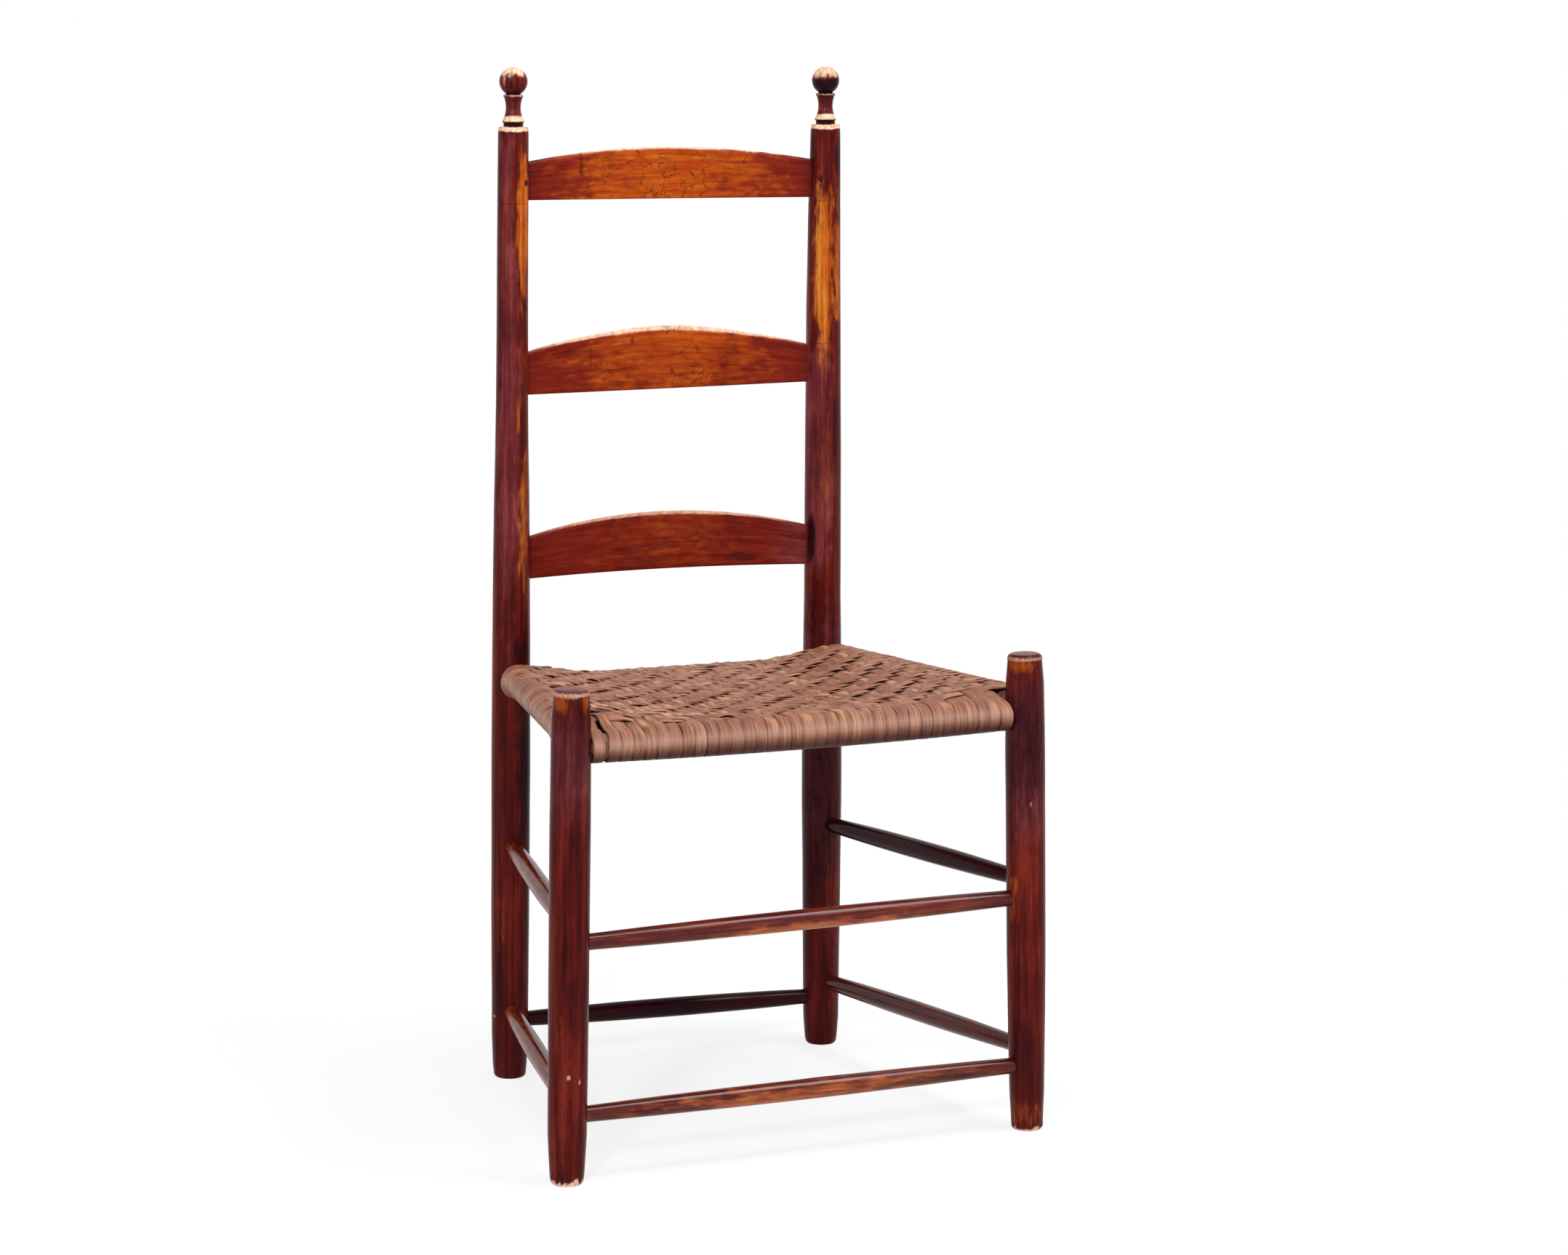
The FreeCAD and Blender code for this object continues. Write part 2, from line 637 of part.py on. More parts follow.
WRAPS = (
    ("front", Vector(0, -1, 0)),
    ("rear", Vector(0, 1, 0)),
    ("left", Vector(-1, 0, 0)),
    ("right", Vector(1, 0, 0)),
)
rod_ends = {name: (start, end) for name, _, start, end in RODS}
for wrap_name, outward_way in WRAPS:
    make_wrap(wrap_name, *rod_ends[f"{wrap_name}_seat_rail"], outward_way)

# The web is lofted through this many strips each way, closer together towards its edges.
WEB_STRIPS = 12


def crowded(step):
    """Return a share from 0 to 1 for a step of the web."""
    return (1 - math.cos(math.pi * step / WEB_STRIPS)) / 2


def eased(share):
    """Return a share that starts and ends level, held between 0 and 1."""
    held = min(max(share, 0), 1)
    return held * held * (3 - 2 * held)


def web_height(across, along, climb_share):
    """Return the height of the seat's middle surface at two shares of its width and depth.

    The surface lies on the front and rear rails, climbs to the side rails, which are higher,
    and hangs a little in the middle. across goes from -1 to 1, along from 0 to 1. The climb
    is complete at climb_share from the front and rear rails.
    """
    seat = value(SEAT)
    front = seat + across * value("sizes.front_rail_tilt")
    rear = seat - value("sizes.rear_rail_drop")
    side_front = seat + value("sizes.side_rail_rise_front")
    side_rear = seat + value("sizes.side_rail_rise_rear")
    middle = front + (rear - front) * along
    side = side_front + (side_rear - side_front) * along
    from_middle = abs(across)
    lift = from_middle ** 4 * (5 - 4 * from_middle) * eased(min(along, 1 - along) / climb_share)
    sag = value("sizes.seat_sag") * (1 - across ** 2) * math.sin(math.pi * along)
    return middle + (side - middle) * lift - sag


def make_web(node, offset, climb):
    """Make the woven web at an offset from the middle surface, open at the four corners."""
    play = value("sizes.splint_fit")
    depth = value("sizes.splint_depth")
    front, rear = (point(on_post(*end)) for end in rod_ends["right_seat_rail"])
    front += Vector(-play, play, 0)
    rear += Vector(-play, -play, 0)
    climb_share = value(climb) / (rear.y - front.y)
    sections = []
    for row in range(WEB_STRIPS + 1):
        along = crowded(row)
        reach = front + (rear - front) * along
        under = []
        for column in range(WEB_STRIPS + 1):
            across = 2 * crowded(column) - 1
            height = web_height(across, along, climb_share) + offset
            under.append(Vector(across * reach.x, reach.y, height))
        over = [spot + Vector(0, 0, depth) for spot in reversed(under)]
        sections.append(Part.makePolygon(under + over + under[:1]))
    web = Part.makeLoft(sections, True, True)
    for row, side in cutters:
        foot = point(on_post(row, side, "0"))
        top = point(on_post(row, side, HEIGHT[row]))
        radius = value(CORNER_REACH[row])
        web = web.cut(Part.makeCylinder(radius, (top - foot).Length, foot, top - foot))
    feature = doc.addObject("Part::Feature", node)
    feature.Shape = web
    return keep(node, feature)


CORNER_REACH = {row: f"{dia} / 2 + sizes.corner_gap" for row, dia in SEAT_DIA.items()}
make_web("splint_seat_top", value(RAIL_INSIDE), f"({CORNER_REACH['front']}) / 2")
make_web("splint_seat_underside", -value(RAIL_OUTSIDE), f"2 * ({CORNER_REACH['front']})")

doc.recompute()

failed = [item.Label for item in doc.Objects if {"Invalid", "Error"} & set(item.State)]
if failed:
    raise RuntimeError(f"these objects failed: {', '.join(failed)}")
for node, solid in parts.items():
    if solid.Shape.isNull() or not solid.Shape.isValid() or solid.Shape.Volume <= 0:
        raise RuntimeError(f"{node} has no valid shape")

os.makedirs("parts", exist_ok=True)
for node, solid in parts.items():
    solid.Shape.exportStep(os.path.join("parts", f"{node}.step"))
    box = solid.Shape.BoundBox
    print(f"{node}: {solid.Shape.Volume / 1000:.1f} cm3, {len(solid.Shape.Solids)} solid,"
          f" z {box.ZMin:.1f} to {box.ZMax:.1f}")
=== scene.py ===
"""Looks of the ladderback chair: shellacked maple frame and a twill seat of ash splint.

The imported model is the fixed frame: metres, +Z up, the chair faces -Y, its left is -X. The
posts, stretchers, slats, pins and splint are built again round the same axes with their wear.
"""

import enum
import logging
import math
import random
from dataclasses import dataclass, field, replace
from typing import Callable, Iterable, Sequence

import bmesh
import bpy
from bpy.types import Material, Node, NodeSocket, NodeTree, Object
from mathutils import Matrix, Vector, noise


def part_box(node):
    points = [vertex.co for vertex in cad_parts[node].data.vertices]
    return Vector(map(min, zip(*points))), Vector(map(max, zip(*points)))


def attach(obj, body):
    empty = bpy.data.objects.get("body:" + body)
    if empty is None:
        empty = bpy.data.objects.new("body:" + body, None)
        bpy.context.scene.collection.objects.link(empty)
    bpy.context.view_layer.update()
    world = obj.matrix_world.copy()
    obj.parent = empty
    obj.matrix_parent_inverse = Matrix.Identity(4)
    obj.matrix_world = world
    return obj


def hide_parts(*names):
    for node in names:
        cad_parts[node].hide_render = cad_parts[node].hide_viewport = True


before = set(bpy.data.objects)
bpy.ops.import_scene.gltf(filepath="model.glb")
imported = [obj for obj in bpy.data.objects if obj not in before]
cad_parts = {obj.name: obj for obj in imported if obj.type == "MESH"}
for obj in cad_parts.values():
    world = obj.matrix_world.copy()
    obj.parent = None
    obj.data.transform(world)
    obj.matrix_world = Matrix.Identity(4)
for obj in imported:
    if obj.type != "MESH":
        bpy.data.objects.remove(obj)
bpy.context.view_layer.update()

log = logging.getLogger("ladderback_chair")

BMesh = bmesh.types.BMesh
# What turns a distance across a strip into a place.
Place = Callable[[float], Vector]
# A station of a strip: metres along it, the place function, the way outwards, and its height
# between the layers, which on the turns round the rails paints shade.
Station = tuple[float, Place, Vector, float]

MM = 0.001
# A spread in degrees that takes in the whole round of a turned piece.
ALL_ROUND = 400.0
# Spreads over this are degrees round a turned piece, and those under it shares of a slat.
DEGREES_FROM = 1.5
# Points nearer to each other than this count as one.
SAME_PLACE = 0.01 * MM
UP = Vector((0.0, 0.0, 1.0))
RIGHT = Vector((1.0, 0.0, 0.0))
FRONT = Vector((0.0, -1.0, 0.0))

ONE_BODY = "root"
GRAIN = "grain"
MARKS = "marks"
# The attribute for purple blooming shellac and its painted sheen.
BLOOM_SHEEN = "bloom_sheen"


class Slot(enum.Enum):
    """The record's material slots for the kinds of piece built here; the script gives none of them
    to a piece.
    """

    POST = "post_maple"
    SLAT = "slat_maple"
    STRETCHER = "stretcher_maple"
    PIN = "pin_oak"
    SPLINT = "ash_splint"


class Mark(enum.IntEnum):
    """What a place on a wooden piece shows, by its number among the place's amounts."""

    WORN = 0
    # Dirt in the shellac, and painted shade where it darkens sides and hollows away from the
    # light.
    GRIME_AND_SHADE = 1
    # Bare wood, and a painted highlight where it lightens edges and tops that catch the light.
    BARE_AND_HIGHLIGHT = 2
    # Purple blooming shellac, with a painted sheen of reflected light.
    BLOOMED_SHEEN = 3


WORN, GRIME_AND_SHADE, BARE_AND_HIGHLIGHT, BLOOMED_SHEEN = Mark


def srgb(code: str) -> tuple[float, float, float, float]:
    """Turn an sRGB hex colour into linear light.

    Args:
        code: six hex digits, red first.

    Returns:
        Red, green, blue and an alpha of 1.
    """
    channels = [int(code[at:at + 2], 16) / 255 for at in (0, 2, 4)]
    linear = [c / 12.92 if c <= 0.04045 else ((c + 0.055) / 1.055) ** 2.4 for c in channels]
    return (*linear, 1.0)


def eased(share: float) -> float:
    """Return a share held between 0 and 1 that starts and ends level."""
    held = min(max(share, 0.0), 1.0)
    return held * held * (3.0 - 2.0 * held)


def mix(low: float, high: float, share: float) -> float:
    """Return the value at a share of the way from low to high."""
    return low + (high - low) * share


def add_node(
    tree: NodeTree,
    kind: str,
    links: dict[str, object] | None = None,
    stops: Sequence[tuple[float, str]] = (),
    **settings: object,
) -> Node:
    """Add a node with its settings and what goes into its sockets.

    Args:
        tree: the material's or the world's tree.
        kind: the node's type.
        links: by socket identifier, an output socket to link, a node whose first output is
            linked, or a value to set.
        stops: places and hex colours of a colour ramp.
        settings: properties of the node.

    Returns:
        The new node.
    """
    node = tree.nodes.new(kind)
    for name, setting in settings.items():
        setattr(node, name, setting)
    sockets = {socket.identifier: socket for socket in node.inputs}
    for identifier, source in (links or {}).items():
        if isinstance(source, Node):
            source = source.outputs[0]
        if isinstance(source, NodeSocket):
            tree.links.new(source, sockets[identifier])
        else:
            sockets[identifier].default_value = source
    for index, (place, code) in enumerate(stops):
        ramp = node.color_ramp.elements
        stop = ramp[index] if index < len(ramp) else ramp.new(place)
        stop.position = place
        stop.color = srgb(code)
    return node


def new_material(name: str) -> tuple[Material, NodeTree]:
    """Return an empty node material and its tree.

    Args:
        name: the material's name.

    Returns:
        The material and its tree.
    """
    material = bpy.data.materials.new(name)
    material.use_nodes = True
    material.node_tree.nodes.clear()
    return material, material.node_tree


def with_shader(material: Material, links: dict[str, object]) -> Material:
    """Return a material, closed with a shader that has these links.

    Args:
        material: the material, with its other nodes.
        links: what goes into the shader's sockets.

    Returns:
        The same material.
    """
    shader = add_node(material.node_tree, "ShaderNodeBsdfPrincipled", links)
    add_node(material.node_tree, "ShaderNodeOutputMaterial", {"Surface": shader})
    return material


def grain_noise(
    tree: NodeTree, grain: NodeSocket, size: Sequence[float], detail: float, roughness: float,
) -> Node:
    """Add noise that is drawn out along the grain.

    Args:
        tree: the material's tree.
        grain: the grain coordinates, in metres.
        size: how many metres a spot measures along x, y and z.
        detail: how many finer layers it holds.
        roughness: how strong the finer layers are.

    Returns:
        The noise.
    """
    mapped = add_node(tree, "ShaderNodeMapping", {
        "Vector": grain, "Scale": [1 / length for length in size],
    })
    return add_node(tree, "ShaderNodeTexNoise", {
        "Vector": mapped, "Scale": 1.0, "Detail": detail, "Roughness": roughness,
    })


def layered(tree: NodeTree, start: Node | float, *layers: tuple[object, float]) -> Node:
    """Lay patterns over a start.

    Args:
        tree: the material's tree.
        start: the value, or the node that gives it.
        layers: each pattern and its weight.

    Returns:
        What gives the sum.
    """
    for pattern, weight in layers:
        start = add_node(tree, "ShaderNodeMath", {
            "Value": pattern, "Value_001": weight, "Value_002": start,
        }, operation="MULTIPLY_ADD")
    return start


def add_object(name: str, data: bpy.types.ID) -> Object:
    """Return a new object of the scene.

    Args:
        name: the object's name.
        data: its mesh, lamp or camera.

    Returns:
        The object.
    """
    added = bpy.data.objects.new(name, data)
    bpy.context.scene.collection.objects.link(added)
    return added


def add_mesh(mesh_maker: BMesh, name: str, material: Material) -> Object:
    """Return a new mesh object of the scene, and free its bmesh.

    Args:
        mesh_maker: the finished bmesh.
        name: the object's name.
        material: its only material.

    Returns:
        The object.
    """
    mesh = bpy.data.meshes.new(name)
    mesh_maker.to_mesh(mesh)
    mesh_maker.free()
    mesh.materials.append(material)
    return add_object(name, mesh)


def finish_piece(
    mesh_maker: BMesh,
    name: str,
    material: Material,
    replaced: Iterable[str] = (),
    sharp_deg: float = 38.0,
) -> Object:
    """Turn a finished bmesh into a piece of the chair.

    Args:
        mesh_maker: the bmesh, in the row frame. It is freed.
        name: the piece's name.
        material: its finish.
        replaced: the CAD nodes that the piece stands for.
        sharp_deg: edges that turn by more than this stay sharp.

    Returns:
        The object, riding on the chair's one body.
    """
    for face in mesh_maker.faces:
        face.smooth = True
    piece = add_mesh(mesh_maker, name, material)
    piece.data.set_sharp_from_angle(angle=math.radians(sharp_deg))
    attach(piece, ONE_BODY)
    if replaced:
        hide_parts(*replaced)
    log.info("%s: %d faces", name, len(piece.data.polygons))
    return piece


@dataclass(frozen=True)
class Axis:
    """A straight line that a piece is built round, with the side of it called its front."""

    start: Vector
    end: Vector
    front: Vector = field(default_factory=lambda: FRONT.copy())

    @property
    def length(self) -> float:
        """The distance from start to end."""
        return (self.end - self.start).length

    def at(self, share: float) -> Vector:
        """Return the point at a share of the way along."""
        return self.start.lerp(self.end, share)

    def matrix(self) -> Matrix:
        """Return the turn and move that take +Z along the axis and -Y to its front.

        Returns:
            The matrix.
        """
        along = (self.end - self.start).normalized()
        back = -(self.front - along * self.front.dot(along)).normalized()
        across = back.cross(along)
        turn = Matrix((across, back, along)).transposed().to_4x4()
        return Matrix.Translation(self.start) @ turn


@dataclass(frozen=True)
class Patch:
    """A place on a piece: worn; dark with dirt and painted shade; pale with bare wood and painted
    highlight; or purple with a painted sheen.

    along and reach are metres along the grain. For a turned piece round and spread are
    degrees from its front, positive towards its own +X. For a slat they are shares of its
    height, from its lower edge.
    """

    mark: Mark
    along: float
    reach: float
    round: float = 0.0
    spread: float = ALL_ROUND
    strength: float = 1.0
    ragged: float = 0.5
    soft: float = 0.7
    edge_grain: float = 9.0 * MM
    reach_of_edge: float = 2.5
    edge_stretch: float = 0.35
    edge_fractal: tuple[float, float, int] = (0.6, 2.1, 3)

    def amount(self, along: float, around: float, spot: Vector) -> float:
        """Return how strong the patch is at a place, from 0 to 1.

        Args:
            along: metres along the piece.
            around: degrees round a turned piece, or share of a slat's height.
            spot: the same place in space, which breaks up the patch's edge.

        Returns:
            The patch's amount there.
        """
        off_along = (along - self.along) / self.reach
        off_round = around - self.round
        if self.spread > DEGREES_FROM:
            off_round = (off_round + 180.0) % 360.0 - 180.0
        off_round /= self.spread
        distance = math.hypot(off_along, off_round)
        if distance > self.reach_of_edge:
            return 0.0
        stretched = Vector((spot.x, spot.y, spot.z * self.edge_stretch)) / self.edge_grain
        broken = noise.fractal(stretched, *self.edge_fractal) * self.ragged
        return self.strength * eased((1.0 + self.soft / 3 - distance - broken) / self.soft)


def patches_mm(*rows: tuple) -> list[Patch]:
    """Return patches from rows like a Patch's values, with their lengths in millimetres."""
    return [Patch(mark, along * MM, reach * MM, *rest) for mark, along, reach, *rest in rows]


def around(spot: Vector) -> float:
    """Return the degrees round the Z axis from the front, positive towards +X."""
    return math.degrees(math.atan2(spot.x, -spot.y))


def on_turned(spot: Vector) -> tuple[float, float, Vector]:
    """Return the metres along a turned piece, the degrees round it, and grain coordinates."""
    return spot.z, around(spot), spot.copy()


def dress_vertices(
    mesh_maker: BMesh, seed: int, patches: Sequence[Patch],
    place: Callable[[Vector], tuple[float, float, Vector]] = on_turned,
) -> None:
    """Write the grain coordinates and the wear of each vertex.

    Args:
        mesh_maker: the piece, still round its own axis.
        seed: sets the piece's stretch of grain apart from the others'.
        patches: the marked places, with painted shade, highlights and sheen among them.
        place: turns a vertex into metres along the grain, the place round or up the piece,
            and coordinates whose third runs with the grain.
    """
    grain = mesh_maker.verts.layers.float_vector.new(GRAIN)
    marks = mesh_maker.verts.layers.float_color.new(MARKS)
    bloom_sheen = mesh_maker.verts.layers.float.new(BLOOM_SHEEN)
    offset = Vector((0.37, 0.71, 1.93)) * seed
    for vertex in mesh_maker.verts:
        along, around, spot = place(vertex.co)
        vertex[grain] = spot + offset
        amounts = [0.0] * len(Mark)
        for patch in patches:
            amounts[patch.mark] = max(amounts[patch.mark], patch.amount(along, around, spot))
        vertex[bloom_sheen] = amounts.pop()
        vertex[marks] = (*amounts, 1.0)


class Profile:
    """A half outline of a turned piece, drawn from one end to the other."""

    def __init__(self, radius: float, height: float) -> None:
        """Start the outline at a radius and a height."""
        self.points = [Vector((radius, height))]

    def line(self, radius: float, height: float, step: float = 1.0) -> "Profile":
        """Draw a straight line with a point at each step.

        Args:
            radius: the radius at its end.
            height: the height of its end.
            step: metres between its points.

        Returns:
            The outline, to draw on.
        """
        start = self.points[-1].copy()
        end = Vector((radius, height))
        count = max(1, round((end - start).length / step))
        self.points += [start.lerp(end, index / count) for index in range(1, count + 1)]
        return self

    def arc(self, through: tuple[float, float], end: tuple[float, float], steps: int) -> "Profile":
        """Draw an arc from here through one point to another.

        Args:
            through: radius and height of a place that it passes.
            end: radius and height of its end.
            steps: how many straight lines stand for it.

        Returns:
            The outline, to draw on.
        """
        first = self.points[-1].copy()
        middle, last = Vector(through), Vector(end)
        a, b = middle - first, last - first
        twice = 2.0 * (a.x * b.y - a.y * b.x)
        centre = first + Vector((
            (b.y * a.length_squared - a.y * b.length_squared) / twice,
            (a.x * b.length_squared - b.x * a.length_squared) / twice,
        ))
        begin = math.atan2(first.y - centre.y, first.x - centre.x)
        turn, mid_turn = (
            (math.atan2(spot.y - centre.y, spot.x - centre.x) - begin + math.pi) % math.tau
            - math.pi for spot in (last, middle)
        )
        if mid_turn * turn < 0 or abs(mid_turn) > abs(turn):
            turn -= math.copysign(math.tau, turn)
        radius = (first - centre).length
        for index in range(1, steps + 1):
            angle = begin + turn * index / steps
            self.points.append(centre + Vector((math.cos(angle), math.sin(angle))) * radius)
        return self

    def turned(self, segments: int) -> BMesh:
        """Turn the outline round the Z axis.

        Args:
            segments: how many faces go round.

        Returns:
            A closed bmesh round the Z axis, faces outwards.
        """
        mesh_maker = bmesh.new()
        verts = [mesh_maker.verts.new((spot.x, 0.0, spot.y)) for spot in self.points]
        edges = [mesh_maker.edges.new(pair) for pair in zip(verts, verts[1:])]
        bmesh.ops.spin(
            mesh_maker, geom=verts + edges, cent=(0, 0, 0), axis=(0, 0, 1), dvec=(0, 0, 0),
            angle=math.tau, steps=segments, use_merge=True, use_duplicate=False,
        )
        bmesh.ops.remove_doubles(mesh_maker, verts=mesh_maker.verts, dist=SAME_PLACE)
        bmesh.ops.recalc_face_normals(mesh_maker, faces=mesh_maker.faces)
        return mesh_maker


def everything(mesh_maker: BMesh) -> list:
    """Return all vertices, edges and faces of a bmesh."""
    return mesh_maker.verts[:] + mesh_maker.edges[:] + mesh_maker.faces[:]


def hand_turned(mesh_maker: BMesh, seed: int, depth: float) -> None:
    """Press the slow waves of hand turning and two centuries of knocks into a turned piece.

    Args:
        mesh_maker: the piece, round the Z axis.
        seed: sets the piece apart from the others.
        depth: how deep the waves go. They only go inwards.
    """
    core, wave = 2.0 * MM, 22.0 * MM
    shift = Vector((seed * 3.1, seed * 1.7, seed * 5.3))
    for vertex in mesh_maker.verts:
        radial = Vector((vertex.co.x, vertex.co.y, 0.0))
        if radial.length < core:
            continue
        spot = Vector((vertex.co.x, vertex.co.y, vertex.co.z * 0.4)) / wave + shift
        vertex.co -= radial.normalized() * depth * (0.5 + 0.5 * noise.noise(spot))


@dataclass(frozen=True)
class ShellacWood:
    """Old maple under worn red-brown shellac.

    Maple is close-grained: short fine flecks and slow streaks along the grain. The shellac is
    red-brown; purple and dull where it blooms with age, with a painted sheen of reflected light in
    that purple; nearly black where dirt sits in it and where it stands for painted shade; amber
    where it is worn thin by rubbing; pale where it is worn bare, which on the finials and the
    slats' top edges is also a painted highlight. Its skin is glossy with soft ripples, and crazed
    where bent.
    """

    name: str
    dark: str
    body: str
    light: str
    amber_deep: str
    amber: str
    amber_light: str
    # The three purples carry a painted sheen; the near-black after them also stands for painted
    # shade, and the two pale colours at the end for painted highlights.
    bloom_sheen_deep: str = "4A141C"
    bloom_sheen: str = "68262A"
    bloom_sheen_light: str = "84403E"
    grime_and_shade: str = "22080E"
    bare: str = "E8C6AA"
    bare_deep: str = "C48E70"
    streak_width: float = 5.0 * MM
    streak_length: float = 130.0 * MM
    fleck_width: float = 0.9 * MM
    fleck_length: float = 9.0 * MM
    cloud_size: float = 38.0 * MM
    speck_width: float = 2.6 * MM
    speck_length: float = 4.0 * MM
    ragged_width: float = 3.2 * MM
    ragged_length: float = 16.0 * MM
    gloss_low: float = 0.16
    gloss_high: float = 0.34
    specular: float = 0.055
    ripple: float = 0.35
    ripple_depth: float = 0.35 * MM
    crazing: float = 0.0
    crack_size: float = 13.0 * MM
    crack_edges: tuple[float, float] = (0.012, 0.035)

    def cracks(
        self, tree: NodeTree, grain: NodeSocket, worn: NodeSocket, cloud: NodeSocket,
    ) -> Node:
        """Add the fine net of cracks in the shellac, there in patches where it is worn.

        Args:
            tree: the material's tree.
            grain: the grain coordinates, in metres.
            worn: how rubbed the place is.
            cloud: slow noise that keeps the cracks to patches.

        Returns:
            What gives 1 on a crack, 0 beside it.
        """
        across = 1 / self.crack_size
        net = add_node(tree, "ShaderNodeMapping", {
            "Vector": grain, "Scale": (across, across, 0.6 * across),
        })
        bent = add_node(tree, "ShaderNodeTexNoise", {"Vector": net, "Scale": 2.2, "Detail": 3.0})
        moved = add_node(tree, "ShaderNodeVectorMath", {
            "Vector": net, "Vector_001": bent.outputs[1],
        }, operation="ADD")
        cells = add_node(tree, "ShaderNodeTexVoronoi", {
            "Vector": moved, "Scale": 1.0,
        }, feature="DISTANCE_TO_EDGE")
        line = add_node(tree, "ShaderNodeMapRange", {
            "Value": cells.outputs["Distance"], "To Min": self.crazing, "To Max": 0.0,
            "From Min": self.crack_edges[0], "From Max": self.crack_edges[1],
        })
        shown = add_node(tree, "ShaderNodeMapRange", {
            "Value": cloud, "From Min": 0.5, "From Max": 0.58,
        })
        for part in (worn, line):
            shown = add_node(tree, "ShaderNodeMath", {
                "Value": shown, "Value_001": part,
            }, operation="MULTIPLY")
        return shown

    def build(self) -> Material:
        """Make the material from the grain, marks and bloom attributes.

        Returns:
            The material.
        """
        material, tree = new_material(self.name)
        grain = add_node(tree, "ShaderNodeAttribute", attribute_name=GRAIN).outputs["Vector"]
        marks = add_node(tree, "ShaderNodeAttribute", attribute_name=MARKS).outputs["Color"]
        worn, grime_and_shade_amount, bare = add_node(tree, "ShaderNodeSeparateColor", {"Color": marks}).outputs
        bloom_sheen_amount = add_node(tree, "ShaderNodeAttribute", attribute_name=BLOOM_SHEEN).outputs["Fac"]
        streak, fleck, cloud, speck, ragged = (
            grain_noise(tree, grain, (width, width, length), detail, 0.6)
            for width, length, detail in (
                (self.streak_width, self.streak_length, 4.0),
                (self.fleck_width, self.fleck_length, 3.0),
                (self.cloud_size, self.cloud_size * 2, 3.0),
                (self.speck_width, self.speck_length, 4.0),
                (self.ragged_width, self.ragged_length, 5.0),
            )
        )
        layers = layered(tree, 0.0, (streak, 0.62), (cloud, 0.38))
        skin, glow, bloom_sheen_skin, bare_and_highlight_picture = (
            add_node(tree, "ShaderNodeValToRGB", {"Fac": pattern}, stops=stops)
            for pattern, stops in (
                (layers, ((0.36, self.dark), (0.5, self.body), (0.66, self.light))),
                (layers, ((0.36, self.amber_deep), (0.5, self.amber), (0.64, self.amber_light))),
                (layers, ((0.36, self.bloom_sheen_deep), (0.5, self.bloom_sheen), (0.64, self.bloom_sheen_light))),
                (speck, ((0.35, self.bare_deep), (0.6, self.bare))),
            )
        )
        colour = skin.outputs[0]
        # Laid over the colour in turn: purple with its painted sheen, amber wear, bare wood with
        # painted highlights, then dirt with painted shade.
        for amount, picture, breakup, gain in (
            (bloom_sheen_amount, bloom_sheen_skin, cloud, 0.6),
            (worn, glow, ragged, 0.9),
            (bare, bare_and_highlight_picture, ragged, 0.4),
            (grime_and_shade_amount, srgb(self.grime_and_shade), ragged, 0.6),
        ):
            broken = layered(tree, -gain / 2, (breakup, gain))
            edge = add_node(tree, "ShaderNodeMath", {
                "Value": amount, "Value_001": broken,
            }, operation="ADD")
            held = add_node(tree, "ShaderNodeMapRange", {
                "Value": edge, "From Min": gain * 0.3, "From Max": 1.0,
            }, interpolation_type="SMOOTHSTEP")
            colour = add_node(tree, "ShaderNodeMix", {
                "Factor_Float": held, "A_Color": colour, "B_Color": picture,
            }, data_type="RGBA").outputs[2]
        shade = add_node(tree, "ShaderNodeMapRange", {
            "Value": fleck, "From Min": 0.3, "From Max": 0.62, "To Min": 0.72, "To Max": 1.06,
        })
        crack = self.cracks(tree, grain, worn, cloud)
        flecked = add_node(tree, "ShaderNodeMix", {
            "Factor_Float": 1.0, "A_Color": colour,
            "B_Color": layered(tree, shade, (crack, -0.7)),
        }, data_type="RGBA", blend_type="MULTIPLY")
        gloss = add_node(tree, "ShaderNodeMapRange", {
            "Value": cloud, "From Min": 0.3, "From Max": 0.7,
            "To Min": self.gloss_low, "To Max": self.gloss_high,
        })
        relief = add_node(tree, "ShaderNodeBump", {
            "Height": layered(tree, fleck, (streak, 1.6), (crack, -1.5)),
            "Strength": self.ripple, "Distance": self.ripple_depth,
        })
        return with_shader(material, {
            "Base Color": flecked.outputs[2], "Roughness": layered(tree, gloss, (bare, 0.3)),
            "Normal": relief, "Specular IOR Level": self.specular,
        })


